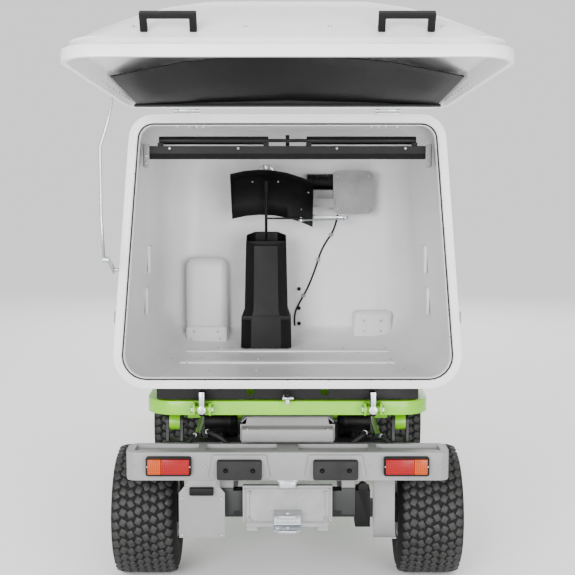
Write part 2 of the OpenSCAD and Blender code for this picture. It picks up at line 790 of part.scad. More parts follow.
module floor_platform() {
  color("limegreen")
    union() {
      box(-362, 362, 124, 1180, rail_top + 0.3, rail_top + 20);
      both() {
        box(352, 362, 430, 1080, rail_top, 660);
        box(352, 680, 430, 1080, 648, 660);
        box(352, 680, 1080, 1092, 500, 660);
        box(352, 680, 418, 430, 560, 660);
      }
    }
  color("dimgray")
    for (x = [196, 274])
      box(x, x + 6, 940, 980, rail_top + 20, rail_top + 60);
}
module seat_base() {
  color("black")
    union() {
      box(-200, 200, 200, 560, rail_top + 20.3, 600);
      both()
        box(140, 170, 190, 590, 600, 612);
    }
}
module seat_cushion() {
  color("black")
    translate([0, 400, 612.3])
      linear_extrude(88)
        polygon(rrect(seat_w, seat_d, 50, 6));
}
module seat_back() {
  color("black")
    translate([0, 0, 0])
      yz_plate([[190, 625], [150, 640], [96, 1060], [130, 1080], [176, 1060], [189.7, 720]],
        -seat_w / 2, seat_w / 2);
}
module roll_bar() {
  color("limegreen")
    difference() {
      union() {
        box(-470, 470, 66, 116, rail_top + 0.3, rail_top + 40);
        both() {
          box(420, 470, 66, 116, rail_top + 30, 1180);
          for (x = [417, 466])
            box(x, x + 7, 62, 120, 1120, 1280);
        }
      }
    }
  color("silver")
    both()
      xrod([445, 91, 1240], 72, 20);
}
module roll_hoop() {
  z1 = rops_h;
  color("limegreen")
    difference() {
      union() {
        both()
          box(425, 465, 71, 111, 1196, z1 - 100);
        xz_plate(concat([[-465, z1 - 100], [-425, z1 - 100]], rev(arc_pts(-365, z1 - 100, 60, 90, 8)),
          arc_fix(365, z1 - 100, 60), [[425, z1 - 100], [465, z1 - 100]],
          arc_pts(365, z1 - 100, 100, 0, 8), arc_pts(-365, z1 - 100, 100, 90, 8)), 71, 111);
      }
      both()
        xrod([445, 91, 1240], 80, 20 + fit, 32);
    }
}
function arc_fix(cx, cz, r) = [for (i = [8:-1:0]) [cx + r * cos(90 * i / 8), cz + r * sin(90 * i / 8)]];
module steering_column() {
  color("dimgray")
    union() {
      yz_plate([[900, rail_top + 20.3], [1120, rail_top + 20.3], [1080, 820], [960, 850],
        [900, 800]], -110, 110);
      bar([0, 985, 780], [0, 985 - 0.606 * 250, 780 + 0.795 * 250], 50, 32);
      bar([0, 985, 780], [0, 985 - 0.606 * 300, 780 + 0.795 * 300], 22, 32);
    }
}
module on_wheel_axis() {
  translate([0, 985 - 0.606 * 285, 780 + 0.795 * 285])
    rotate([atan2(0.606, 0.795), 0, 0])
      children();
}
module steering_wheel() {
  color("black")
    on_wheel_axis()
      difference() {
        union() {
          rotate_extrude($fn = 72)
            translate([steer_d / 2 - 14, 0])
              circle(d = 28, $fn = 24);
          translate([0, 0, -16])
            cylinder(h = 30, d = 70, $fn = 48);
          for (a = [90, 210, 330])
            rotate([0, 0, a])
              translate([0, -14, -5])
                cube([steer_d / 2 - 18, 28, 8]);
        }
        translate([0, 0, -20])
          cylinder(h = 60, d = 22 + fit, $fn = 32);
      }
}
module drive_pedal() {
  color("black")
    difference() {
      union() {
        xrod([238, 960, rail_top + 45], 71.4, 26);
        yz_plate([[955, rail_top + 50], [965, rail_top + 56], [1060, rail_top + 130],
          [1050, rail_top + 138], [880, rail_top + 44], [886, rail_top + 34]], 205, 271);
      }
    }
}
module front_axle() {
  r = front_tyre_d / 2;
  color("dimgray")
    union() {
      box(-360, 360, front_axle_y - 45, front_axle_y + 45, r - 35, rail_z - 0.3);
      both() {
        xrod([330, front_axle_y, r], 90, 130, 48);
        xrod([(front_track + 60) / 4 + 180, front_axle_y, r], front_track / 2 - 330, 50, 48);
      }
    }
}
module rear_axle() {
  r = rear_tyre_d / 2;
  color("dimgray")
    difference() {
      union() {
        box(-king_x, king_x, rear_axle_y - 30, rear_axle_y + 30, r - 30, r + 30);
        both() {
          translate([king_x, rear_axle_y, r - 40])
            cylinder(h = 80, d = 56, $fn = 48);
          box(rail_x - 25, rail_x + 25, rear_axle_y - 50, rear_axle_y + 50, r, rail_z - 0.3);
        }
      }
      both()
        translate([king_x, rear_axle_y, r - 50])
          cylinder(h = 100, d = 30 + fit, $fn = 48);
    }
}
module knuckle() {
  r = rear_tyre_d / 2;
  color("gray")
    union() {
      for (z = [r - 52, r + 42])
        difference() {
          union() {
            translate([king_x, rear_axle_y, z])
              cylinder(h = 10, d = 56, $fn = 48);
            box(king_x, king_x + 48, rear_axle_y - 28, rear_axle_y + 28, z, z + 10);
          }
        }
      translate([king_x, rear_axle_y, r - 52])
        cylinder(h = 104, d = 30, $fn = 48);
      box(king_x + 30, king_x + 48, rear_axle_y - 28, rear_axle_y + 28, r - 52, r + 52);
      xrod([king_x + 100, rear_axle_y, r], 140, 50, 48);
      box(king_x - 16, king_x + 16, rear_axle_y, rear_axle_y + 140, r - 52, r - 42);
      translate([king_x, rear_axle_y + 140, r - 52])
        cylinder(h = 10, d = 40, $fn = 32);
      translate([king_x, rear_axle_y + 140, r - 74])
        cylinder(h = 30, d = 16, $fn = 32);
    }
}
module knuckle_left() {
  mirror([1, 0, 0])
    knuckle();
}
module knuckle_right() {
  knuckle();
}
module tie_rod() {
  y = rear_axle_y + 140;
  z = rear_tyre_d / 2 - 64;
  color("silver")
    difference() {
      union() {
        xrod([0, y, z], 2 * king_x - 30, 22);
        both()
          translate([king_x, y, z - 9])
            cylinder(h = 18, d = 38, $fn = 32);
      }
      both()
        translate([king_x, y, z - 15])
          cylinder(h = 30, d = 16 + fit, $fn = 32);
    }
}
// wheel parts turned about X: rim of seat radius r and half width w, hub bore b
module rim(c, r, w, b) {
  translate(c)
    rotate([0, 90, 0])
      rotate_extrude($fn = 72)
        polygon([[b / 2, -40], [b / 2 + 22, -40], [b / 2 + 22, 2], [r - 8, 2], [r - 8, -w],
          [r + 12, -w], [r + 12, -w + 7], [r, -w + 7], [r, w - 7], [r + 12, w - 7], [r + 12, w],
          [r - 8, w], [r - 8, 14], [b / 2 + 22, 14], [b / 2 + 22, 34], [b / 2, 34]]);
}
module tyre(c, r0, r, w) {
  i = r0 + 0.3;
  translate(c)
    rotate([0, 90, 0])
      rotate_extrude($fn = 72)
        polygon([[i, -w + 27], [i, -w + 18.4], [i + 13, -w + 18.4], [i + 16, -w + 12], [i + 32, -w + 3], [(i + r) / 2, -w],
          [r - 22, -w + 4], [r - 4, -w + 22], [r, -w + 36], [r, w - 36], [r - 4, w - 22], [r - 22, w - 4],
          [(i + r) / 2, w], [i + 32, w - 3], [i + 16, w - 12], [i + 13, w - 18.4], [i, w - 18.4], [i, w - 27],
          [i + 16, w - 28], [(i + r) / 2, w - 16], [r - 30, w - 20], [r - 18, w - 40],
          [r - 18, -w + 40], [r - 30, -w + 20], [(i + r) / 2, -w + 16], [i + 16, -w + 28]]);
}
rr = rear_tyre_d / 2;
fr = front_tyre_d / 2;
module rear_rim_left() {
  color("lightgray")
    mirror([1, 0, 0])
      rim([rear_track / 2, rear_axle_y, rr], 104, rear_tyre_w / 2 - 11, 50 + fit);
}
module rear_rim_right() {
  color("lightgray")
    rim([rear_track / 2, rear_axle_y, rr], 104, rear_tyre_w / 2 - 11, 50 + fit);
}
module rear_tyre_left() {
  color("black")
    mirror([1, 0, 0])
      tyre([rear_track / 2, rear_axle_y, rr], 104, rr, rear_tyre_w / 2);
}
module rear_tyre_right() {
  color("black")
    tyre([rear_track / 2, rear_axle_y, rr], 104, rr, rear_tyre_w / 2);
}
module front_rim_left() {
  color("lightgray")
    mirror([1, 0, 0])
      rim([front_track / 2, front_axle_y, fr], 152, front_tyre_w / 2 - 11, 50 + fit);
}
module front_rim_right() {
  color("lightgray")
    rim([front_track / 2, front_axle_y, fr], 152, front_tyre_w / 2 - 11, 50 + fit);
}
module front_tyre_left() {
  color("black")
    mirror([1, 0, 0])
      tyre([front_track / 2, front_axle_y, fr], 152, fr, front_tyre_w / 2);
}
module front_tyre_right() {
  color("black")
    tyre([front_track / 2, front_axle_y, fr], 152, fr, front_tyre_w / 2);
}
module head_housing() {
  h = head_half;
  color("limegreen")
    difference() {
      union() {
        yz_plate(concat([for (a = [0:10:180]) [brush_y + 212 * cos(a), brush_z + 212 * sin(a)]],
          [for (a = [180:-10:0]) [brush_y + 206 * cos(a), brush_z + 206 * sin(a)]]), -h, h);
        both()
          yz_plate(concat([for (a = [0:10:180]) [brush_y + 212 * cos(a), brush_z + 212 * sin(a)]],
            [[brush_y - 212, 40], [brush_y - 180, 12], [brush_y + 180, 12],
            [brush_y + 212, 40]]), h - 8, h);
        both() {
          xz_bar();
        }
        yz_plate([[brush_y - 195, 200], [brush_y - 330, 250], [brush_y - 330, 420],
          [brush_y - 120, 395]], -150, 150);
      }
      xrod([0, brush_y, brush_z], 2 * h + 20, 40 + fit, 48);
      both()
        xrod([rail_x + rail_w / 2 + 33, head_y, head_z], 40, 30 + fit, 32);
    }
}
module xz_bar() {
  x = rail_x + rail_w / 2 + 24;
  yz_plate([[head_y, head_z + 22], [head_y, head_z - 22], [brush_y - 208, 260], [brush_y - 170, 290],
    [brush_y - 130, 345], [brush_y - 160, head_z + 10]], x, x + 16);
  xrod([x + 8, head_y, head_z], 16, 64, 48);
}
module roller_brush() {
  h = head_half;
  color("darkgreen")
    union() {
      difference() {
        xrod([0, brush_y, brush_z], 2 * h - 30, brush_d, 60);
        both()
          xrod([h / 2 + 10, brush_y, brush_z], h, brush_d - 70, 60);
      }
      xrod([0, brush_y, brush_z], 2 * h, 40, 48);
    }
}
head_y = 1140;
head_z = 380;
brush_y = 1944;
brush_z = 198;

chassis_frame();
rear_bumper();
rubber_buffers();
tail_lamp_frames();
tail_lens_red();
tail_lens_amber();
number_plate_holder();
number_plate_lamp();
hitch_box();
hitch_plates();
engine_cover();
engine_block();
fuel_tank();
wheel_guard();
floor_platform();
seat_base();
seat_cushion();
seat_back();
roll_bar();
roll_hoop();
steering_column();
steering_wheel();
drive_pedal();
front_axle();
rear_axle();
knuckle_left();
knuckle_right();
tie_rod();
rear_rim_left();
rear_tyre_left();
rear_rim_right();
rear_tyre_right();
front_rim_left();
front_tyre_left();
front_rim_right();
front_tyre_right();
head_housing();
roller_brush();
lift_arms();
lift_links();
cradle_loop();
hopper_shell();
rim_seal();
hopper_underframe();
top_beam();
gas_struts();
duct_column();
deflector_hood();
hood_link();
gearmotor();
motor_cable();
hood_lever();
hood_bracket();
hinge_leaves();
lid_shell();
lid_hinges();
lid_liner();
lid_handles();
lid_rod();
lid_lever();
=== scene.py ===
"""Looks of a ride-on sweeper with a high-dump hopper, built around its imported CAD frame."""

import json
import math

import bmesh
import bpy
from mathutils import Matrix, Vector
from mathutils.bvhtree import BVHTree


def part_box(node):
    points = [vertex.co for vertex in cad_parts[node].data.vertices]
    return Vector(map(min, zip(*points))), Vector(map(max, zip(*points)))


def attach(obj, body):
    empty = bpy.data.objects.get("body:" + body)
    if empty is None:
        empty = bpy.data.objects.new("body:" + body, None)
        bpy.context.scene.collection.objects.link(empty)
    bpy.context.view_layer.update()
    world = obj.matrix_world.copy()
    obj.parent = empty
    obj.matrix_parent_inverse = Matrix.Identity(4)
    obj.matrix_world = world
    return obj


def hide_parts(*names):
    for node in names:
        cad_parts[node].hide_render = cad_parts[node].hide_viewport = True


bl_info = {
    "name": "Ride-on sweeper",
    "version": (1, 0, 0),
    "blender": (4, 5, 0),
    "location": "View3D > Sidebar > Sweeper",
    "description": "Builds the sweeper's finished surfaces piece by piece",
    "category": "Add Mesh",
}

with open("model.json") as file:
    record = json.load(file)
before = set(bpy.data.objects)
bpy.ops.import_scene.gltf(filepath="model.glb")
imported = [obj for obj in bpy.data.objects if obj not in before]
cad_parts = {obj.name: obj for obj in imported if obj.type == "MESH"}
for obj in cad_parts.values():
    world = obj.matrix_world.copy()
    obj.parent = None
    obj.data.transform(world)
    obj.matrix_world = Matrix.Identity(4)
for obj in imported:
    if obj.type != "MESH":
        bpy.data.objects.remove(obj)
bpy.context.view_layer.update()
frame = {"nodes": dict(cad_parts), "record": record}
NODES = frame["nodes"]
BODY = {n: b for b, ns in frame["record"]["behaviour"]["bodies"].items() for n in ns}
LID_ANGLE = -max(j for joint in frame["record"]["behaviour"]["joints"] if joint["name"] == "lid_open"
                 for j in joint["range_deg"])
SLOT = {s["node"]: s["material_slot"] for s in frame["record"]["subparts"]}

# The hopper's rim and the lid's hinge line, in millimetres.
RIM_TOP_Z, RIM_LOW_Z = 1795, 808
RIM_TOP_HALF, RIM_LOW_HALF = 565, 632
LID_HINGE = Vector((0, -1183, 1808))
# A bolt head's dome and socket, as shares of its radius and height.
HEAD_TAPER, SOCKET_EDGE, SOCKET_DEPTH = 0.72, 0.34, 0.45


def mm(value):
    """Millimetres to metres."""
    return value / 1000


def linear(code):
    """An sRGB hex colour as linear RGBA."""
    parts = [int(code[i : i + 2], 16) / 255 for i in (1, 3, 5)]
    return tuple(c / 12.92 if c < 0.04045 else ((c + 0.055) / 1.055) ** 2.4 for c in parts) + (1,)


def add(tree, kind, props=None, inputs=None):
    """Adds one shader node; an input is given a value, or another node's output."""
    made = tree.nodes.new(kind)
    for key, value in (props or {}).items():
        setattr(made, key, value)
    for key, value in (inputs or {}).items():
        if isinstance(value, bpy.types.NodeSocket):
            tree.links.new(value, made.inputs[key])
        else:
            made.inputs[key].default_value = value
    return made


def finish_of(name, colour, rough, settings=None):
    """A new material; returns it with its node tree, its Principled shader and its object coordinates."""
    mat = bpy.data.materials.new(name)
    mat.use_nodes = True
    tree = mat.node_tree
    tree.nodes.clear()
    shader = add(tree, "ShaderNodeBsdfPrincipled", None, {"Base Color": linear(colour), "Roughness": rough})
    for key, value in (settings or {}).items():
        shader.inputs[key].default_value = value
    add(tree, "ShaderNodeOutputMaterial", None, {"Surface": shader.outputs[0]})
    coords = add(tree, "ShaderNodeTexCoord")
    return mat, tree, shader, coords.outputs["Object"]


def grain(tree, shader, coords, size, depth, detail=3.0):
    """Noise bump with features of the given size and depth in millimetres."""
    noise = add(tree, "ShaderNodeTexNoise", None, {"Vector": coords, "Scale": 1000 / size, "Detail": detail})
    bump = add(tree, "ShaderNodeBump", None,
               {"Height": noise.outputs["Fac"], "Distance": mm(depth), "Strength": 1.0})
    tree.links.new(bump.outputs[0], shader.inputs["Normal"])


def mottle(tree, shader, coords, size, low, high, rough_low, rough_high):
    """Slow change of colour and gloss over patches of the given size in millimetres."""
    noise = add(tree, "ShaderNodeTexNoise", None, {"Vector": coords, "Scale": 1000 / size, "Detail": 5.0,
                                                   "Roughness": 0.6})
    ramp = add(tree, "ShaderNodeValToRGB", None, {"Fac": noise.outputs["Fac"]})
    ramp.color_ramp.elements[0].position, ramp.color_ramp.elements[1].position = 0.3, 0.7
    ramp.color_ramp.elements[0].color, ramp.color_ramp.elements[1].color = linear(low), linear(high)
    tree.links.new(ramp.outputs[0], shader.inputs["Base Color"])
    spread = add(tree, "ShaderNodeMapRange", None, {"Value": noise.outputs["Fac"], "From Min": 0.3,
                                                    "From Max": 0.7, "To Min": rough_low, "To Max": rough_high})
    tree.links.new(spread.outputs[0], shader.inputs["Roughness"])


def white_gelcoat():
    # Glass-fibre moulding with a sprayed white gelcoat: glossy, with faint orange peel and slight bloom.
    mat, tree, shader, coords = finish_of("white_gelcoat_moulded", paints().white, 0.36, {"IOR": 1.5})
    mottle(tree, shader, coords, 260, paints().white_shade, paints().white, 0.30, 0.42)
    grain(tree, shader, coords, 14, 0.10, 2.0)
    return mat


def lime_powder_coat():
    # Powder-coated steel in lime green: satin, with a fine melted-powder texture.
    mat, tree, shader, coords = finish_of("lime_powder_coat", paints().lime, 0.35,
                                          {"IOR": 1.5, "Coat Weight": 0.2})
    mottle(tree, shader, coords, 180, paints().lime_shade, paints().lime, 0.30, 0.42)
    grain(tree, shader, coords, 5, 0.05)
    return mat


def black_powder_coat():
    # Black powder coat on folded sheet: low gloss with a fine texture that catches the light.
    mat, tree, shader, coords = finish_of("black_powder_coat", "#050505", 0.42,
                                          {"IOR": 1.5, "Specular IOR Level": 0.2})
    mottle(tree, shader, coords, 120, "#030303", "#080808", 0.36, 0.52)
    grain(tree, shader, coords, 4, 0.06)
    return mat


def black_moulded_abs():
    # Black ABS moulded in a spark-eroded tool: matt with an even leather-like grain.
    mat, tree, shader, coords = finish_of("black_grained_abs", "#040404", 0.5,
                                          {"IOR": 1.5, "Specular IOR Level": 0.2})
    mottle(tree, shader, coords, 160, "#030303", "#070707", 0.42, 0.6)
    cells = add(tree, "ShaderNodeTexVoronoi", {"feature": "SMOOTH_F1"}, {"Vector": coords, "Scale": 1000 / 3.0})
    bump = add(tree, "ShaderNodeBump", None, {"Height": cells.outputs["Distance"], "Distance": mm(0.15),
                                              "Strength": 0.7})
    tree.links.new(bump.outputs[0], shader.inputs["Normal"])
    return mat


def grey_moulded_abs():
    # Light grey ABS covers: satin, with a fine even texture.
    mat, tree, shader, coords = finish_of("grey_moulded_abs", paints().grey, 0.45, {"IOR": 1.53})
    mottle(tree, shader, coords, 220, paints().grey_shade, paints().grey, 0.40, 0.52)
    grain(tree, shader, coords, 3, 0.05)
    return mat


def grey_painted_casting():
    # Painted iron casting: a sandy skin shows through the satin grey paint.
    mat, tree, shader, coords = finish_of("grey_painted_casting", "#8c8c8c", 0.48, {"IOR": 1.5})
    mottle(tree, shader, coords, 90, "#808080", "#989898", 0.42, 0.6)
    grain(tree, shader, coords, 6, 0.25, 5.0)
    return mat


def dark_painted_steel():
    # Charcoal chassis paint: satin with road dust in the lows.
    mat, tree, shader, coords = finish_of("charcoal_chassis_paint", "#151617", 0.5, {"IOR": 1.5})
    mottle(tree, shader, coords, 140, "#101112", "#1d1e1f", 0.42, 0.66)
    grain(tree, shader, coords, 6, 0.12, 4.0)
    return mat


def zinc_plate():
    # Bright zinc-plated steel: metallic with a soft spangle and slight blue-grey tone.
    mat, tree, shader, coords = finish_of("zinc_plated_steel", "#b9bcc0", 0.32, {"Metallic": 1.0})
    cells = add(tree, "ShaderNodeTexVoronoi", None, {"Vector": coords, "Scale": 1000 / 9.0})
    ramp = add(tree, "ShaderNodeValToRGB", None, {"Fac": cells.outputs["Distance"]})
    ramp.color_ramp.elements[0].color, ramp.color_ramp.elements[1].color = linear("#a9adb2"), linear("#c6c9cc")
    tree.links.new(ramp.outputs[0], shader.inputs["Base Color"])
    grain(tree, shader, coords, 3, 0.03)
    return mat


def moulded_rubber():
    # Moulded black rubber: matt, very slightly uneven, greyer where dust sits.
    mat, tree, shader, coords = finish_of("moulded_black_rubber", "#0e0e0e", 0.7,
                                          {"IOR": 1.52, "Specular IOR Level": 0.4})
    mottle(tree, shader, coords, 70, "#0a0a0a", "#151515", 0.6, 0.82)
    grain(tree, shader, coords, 2.5, 0.08, 4.0)
    return mat


def tyre_rubber():
    # Vulcanised tyre rubber on the tread blocks: dark grey and dusty; the grooves get a blacker copy of it as
    # painted shade.
    mat, tree, shader, coords = finish_of("vulcanised_tyre_rubber", "#1c1c1c", 0.6, {"IOR": 1.52})
    mottle(tree, shader, coords, 60, "#121212", "#262625", 0.5, 0.75)
    grain(tree, shader, coords, 3, 0.15, 5.0)
    return mat


def groove_shade_rubber():
    # A blacker, rougher copy of the tyre rubber for the grooves and the sidewall: painted shade in the grooves.
    mat, tree, shader, coords = finish_of("tyre_groove_shade_rubber", "#0c0c0c", 0.85,
                                          {"IOR": 1.5, "Specular IOR Level": 0.3})
    mottle(tree, shader, coords, 60, "#080808", "#151515", 0.75, 0.95)
    grain(tree, shader, coords, 3, 0.15, 5.0)
    return mat


def lens_acrylic(name, dark, light):
    # Tinted acrylic lamp lens: clear and glossy, with rows of small prisms moulded inside.
    mat, tree, shader, coords = finish_of(name, light, 0.2,
                                          {"IOR": 1.45, "Coat Weight": 0.1, "Specular IOR Level": 0.3,
                                           "Emission Strength": 0.35})
    shader.inputs["Emission Color"].default_value = linear(light)
    cells = add(tree, "ShaderNodeTexVoronoi", {"feature": "F1", "distance": "CHEBYCHEV"},
                {"Vector": coords, "Scale": 1000 / 7.0, "Randomness": 0.0})
    ramp = add(tree, "ShaderNodeValToRGB", None, {"Fac": cells.outputs["Distance"]})
    ramp.color_ramp.elements[0].position, ramp.color_ramp.elements[1].position = 0.1, 0.6
    ramp.color_ramp.elements[0].color, ramp.color_ramp.elements[1].color = linear(light), linear(dark)
    tree.links.new(ramp.outputs[0], shader.inputs["Base Color"])
    bump = add(tree, "ShaderNodeBump", None, {"Height": cells.outputs["Distance"], "Distance": mm(0.8),
                                              "Strength": 0.8})
    tree.links.new(bump.outputs[0], shader.inputs["Normal"])
    return mat


def red_lens():
    # Red half of the rear lamp.
    return lens_acrylic("red_acrylic_lens", "#3a0002", "#a00006")


def amber_lens():
    # Amber end of the rear lamp.
    return lens_acrylic("amber_acrylic_lens", "#521a00", "#c24a00")


def cast_alloy():
    # Sand-cast aluminium engine: matt silver grey with a granular skin.
    mat, tree, shader, coords = finish_of("sand_cast_aluminium", "#8d8f91", 0.55, {"Metallic": 0.9})
    mottle(tree, shader, coords, 60, "#6f7173", "#9a9c9e", 0.45, 0.7)
    grain(tree, shader, coords, 2.5, 0.3, 5.0)
    return mat


def seat_vinyl():
    # Coated vinyl seat cover: soft sheen over a pebbled leather grain.
    mat, tree, shader, coords = finish_of("pebbled_seat_vinyl", "#1b1b1d", 0.46,
                                          {"IOR": 1.5, "Sheen Weight": 0.1})
    mottle(tree, shader, coords, 90, "#161617", "#252527", 0.38, 0.56)
    cells = add(tree, "ShaderNodeTexVoronoi", {"feature": "DISTANCE_TO_EDGE"}, {"Vector": coords,
                                                                               "Scale": 1000 / 3.2})
    bump = add(tree, "ShaderNodeBump", None, {"Height": cells.outputs["Distance"], "Distance": mm(0.5),
                                              "Strength": 0.6})
    tree.links.new(bump.outputs[0], shader.inputs["Normal"])
    return mat


def bristle_nylon():
    # Extruded nylon bristle: dark green with a dull waxy shine.
    mat, tree, shader, coords = finish_of("nylon_brush_bristle", "#1d3316", 0.5, {"IOR": 1.53})
    mottle(tree, shader, coords, 12, "#13240e", "#2c4a20", 0.4, 0.65)
    grain(tree, shader, coords, 3, 0.6, 6.0)
    return mat


def air_screen():
    # Folded black air screen: perforated sheet with small round holes in rows.
    mat, tree, shader, coords = finish_of("perforated_black_sheet", "#060606", 0.42,
                                          {"IOR": 1.5, "Specular IOR Level": 0.2})
    cells = add(tree, "ShaderNodeTexVoronoi", {"feature": "F1"},
                {"Vector": coords, "Scale": 1000 / 8.0, "Randomness": 0.0})
    ramp = add(tree, "ShaderNodeValToRGB", None, {"Fac": cells.outputs["Distance"]})
    ramp.color_ramp.elements[0].position, ramp.color_ramp.elements[1].position = 0.28, 0.36
    ramp.color_ramp.elements[0].color, ramp.color_ramp.elements[1].color = linear("#010101"), linear("#080808")
    tree.links.new(ramp.outputs[0], shader.inputs["Base Color"])
    bump = add(tree, "ShaderNodeBump", None, {"Height": ramp.outputs[0], "Distance": mm(0.8), "Strength": 0.6})
    tree.links.new(bump.outputs[0], shader.inputs["Normal"])
    return mat


MAKERS = {
    "white_moulding": white_gelcoat, "lime_paint": lime_powder_coat, "lime_moulding": lime_powder_coat,
    "black_paint": black_powder_coat, "dark_casting": dark_painted_steel,
    "grey_casting": grey_painted_casting, "grey_moulding": grey_moulded_abs, "zinc_steel": zinc_plate,
    "black_plastic": black_moulded_abs, "rubber_black": moulded_rubber, "tyre_black": tyre_rubber,
    "lens_red": red_lens, "lens_amber": amber_lens, "engine_alloy": cast_alloy, "seat_vinyl": seat_vinyl,
    # tyre_groove is the blacker tyre rubber, painted shade in the grooves.
    "brush_nylon": bristle_nylon, "screen_black": air_screen, "tyre_groove": groove_shade_rubber,
}
FINISHES = {}


def finish_for(slot):
    """The material of a record slot, made once."""
    if slot not in FINISHES:
        FINISHES[slot] = MAKERS[slot]()
    return FINISHES[slot]


def paints():
    """The colours set in the panel."""
    return bpy.context.scene.sweeper_paints


def sizes():
    """The sizes set in the panel."""
    return bpy.context.scene.sweeper_sizes


def piece(name, bm, slot, body, smooth=35, replaced=(), finish=None):
    """Turns a bmesh into a finished piece that rides on a body."""
    mesh = bpy.data.meshes.new(name)
    bm.to_mesh(mesh)
    bm.free()
    mesh.shade_smooth()
    if smooth:
        mesh.set_sharp_from_angle(angle=math.radians(smooth))
    obj = bpy.data.objects.new(name, mesh)
    bpy.context.collection.objects.link(obj)
    mesh.materials.append(finish_for(finish or slot))
    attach(obj, body)
    if replaced:
        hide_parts(*replaced)
    return obj


def copy_of(node):
    """A merged and cleaned bmesh of a CAD node."""
    bm = bmesh.new()
    bm.from_mesh(NODES[node].data)
    bmesh.ops.remove_doubles(bm, verts=bm.verts, dist=1e-5)
    bmesh.ops.dissolve_limit(bm, angle_limit=math.radians(0.6), verts=bm.verts, edges=bm.edges)
    return bm


def eased(node, width, segments=2, angle=28, smooth=32):
    """Replaces a CAD node by the same shape with its edges rounded."""
    bm = copy_of(node)
    edges = [e for e in bm.edges if len(e.link_faces) == 2 and e.calc_face_angle(0) > math.radians(angle)]
    if width:
        bmesh.ops.bevel(bm, geom=edges, offset=mm(width), affect="EDGES", segments=segments, profile=0.5,
                        clamp_overlap=True, material=-1)
    return piece(node + "_finished", bm, SLOT[node], BODY[node], smooth, (node,))


def at(place, towards=(0, 0, 1)):
    """Matrix that puts a shape's +Z along a direction at a place."""
    return Matrix.Translation(Vector(place)) @ Vector(towards).to_track_quat("Z", "Y").to_matrix().to_4x4()


def bolt(bm, place, towards, radius=5.0, height=4.0, sides=10):
    """A domed bolt head with a socket, in millimetres, standing on a surface."""
    spot = at(place, towards) @ Matrix.Translation((0, 0, mm(height / 2)))
    made = bmesh.ops.create_cone(bm, cap_ends=True, segments=sides, radius1=mm(radius),
                                 radius2=mm(radius * HEAD_TAPER), depth=mm(height), matrix=spot)
    top = max({f for v in made["verts"] for f in v.link_faces if len(f.verts) == sides},
              key=lambda f: (f.calc_center_median() - Vector(place)).dot(Vector(towards)))
    bmesh.ops.inset_individual(bm, faces=[top], thickness=mm(radius * SOCKET_EDGE),
                                 depth=-mm(height * SOCKET_DEPTH))


def bolts(name, places, towards, slot, body, radius=5.0, height=4.0, sides=10):
    """Many like bolt heads as one piece."""
    bm = bmesh.new()
    for place in places:
        bolt(bm, place, towards, radius, height, sides)
    return piece(name, bm, slot, body, 40)


def block(bm, low, high, ease=3.0, segments=3):
    """A box between two corners in millimetres with eased edges, added to a bmesh."""
    low, high = Vector(low), Vector(high)
    made = bmesh.ops.create_cube(bm, size=1.0, matrix=Matrix.Translation((low + high) / 2000)
                                 @ Matrix.Diagonal(((high - low) / 1000).to_4d()))
    if ease:
        edges = list({e for v in made["verts"] for e in v.link_edges})
        bmesh.ops.bevel(bm, geom=edges, offset=mm(ease), affect="EDGES", segments=segments, profile=0.5,
                        material=-1, clamp_overlap=True)


def rod(bm, start, end, radius, sides=24, ease=0.0):
    """A round bar between two points, in metres, with a radius in millimetres."""
    start, end = Vector(start), Vector(end)
    made = bmesh.ops.create_cone(bm, cap_ends=True, segments=sides, radius1=mm(radius), radius2=mm(radius),
                                 depth=(end - start).length, matrix=at((start + end) / 2, end - start))
    if ease:
        rims = {e for v in made["verts"] for f in v.link_faces if len(f.verts) == sides for e in f.edges}
        bmesh.ops.bevel(bm, geom=list(rims), offset=mm(ease), affect="EDGES", segments=2, profile=0.5,
                        material=-1, clamp_overlap=True)


def hose(name, points, radius, slot, body, replaced=(), order=4):
    """A smooth round hose or cable through points in metres, radius in millimetres, made a mesh."""
    curve = bpy.data.curves.new(name, "CURVE")
    curve.dimensions = "3D"
    curve.bevel_depth, curve.bevel_resolution, curve.use_fill_caps = mm(radius), 5, True
    line = curve.splines.new("NURBS")
    line.points.add(len(points) - 1)
    for point, place in zip(line.points, points):
        point.co = (*place, 1.0)
    line.use_endpoint_u, line.order_u, line.resolution_u = True, order, 8
    helper = bpy.data.objects.new(name, curve)
    bpy.context.collection.objects.link(helper)
    bpy.context.view_layer.update()
    mesh = bpy.data.meshes.new_from_object(helper.evaluated_get(bpy.context.evaluated_depsgraph_get()))
    bpy.data.objects.remove(helper)
    bpy.data.curves.remove(curve)
    bm = bmesh.new()
    bm.from_mesh(mesh)
    bpy.data.meshes.remove(mesh)
    bmesh.ops.remove_doubles(bm, verts=bm.verts, dist=1e-6)
    return piece(name, bm, slot, body, 50, replaced)


TREES = {}


def hit(node, start, towards):
    """Where a ray from a point meets a CAD node, and the surface's normal there."""
    if node not in TREES:
        bm = bmesh.new()
        bm.from_mesh(NODES[node].data)
        TREES[node] = BVHTree.FromBMesh(bm)
        bm.free()
    place, normal, _, _ = TREES[node].ray_cast(Vector(start), Vector(towards).normalized())
    return place, normal


def studs(name, node, rays, slot, radius=5.0, height=4.0, sides=10):
    """Bolt heads where rays (start and direction) meet a node; they ride on that node's body."""
    bm = bmesh.new()
    for start, towards in rays:
        place, normal = hit(node, start, towards)
        if place is not None:
            bolt(bm, place - normal * mm(0.4), normal, radius, height, sides)
    return piece(name, bm, slot, BODY[node], 40)


def opened(point, direction=False):
    """A point of the shut lid, in millimetres, moved to where the open lid has it, in metres."""
    start = Vector() if direction else LID_HINGE
    turned = Matrix.Rotation(math.radians(LID_ANGLE), 3, "X") @ (Vector(point) - start)
    return turned if direction else (turned + LID_HINGE) / 1000


def half_width(z):
    """Half the width of the hopper's rim at a height in millimetres."""
    return RIM_TOP_HALF + (RIM_LOW_HALF - RIM_TOP_HALF) * (RIM_TOP_Z - z) / (RIM_TOP_Z - RIM_LOW_Z)


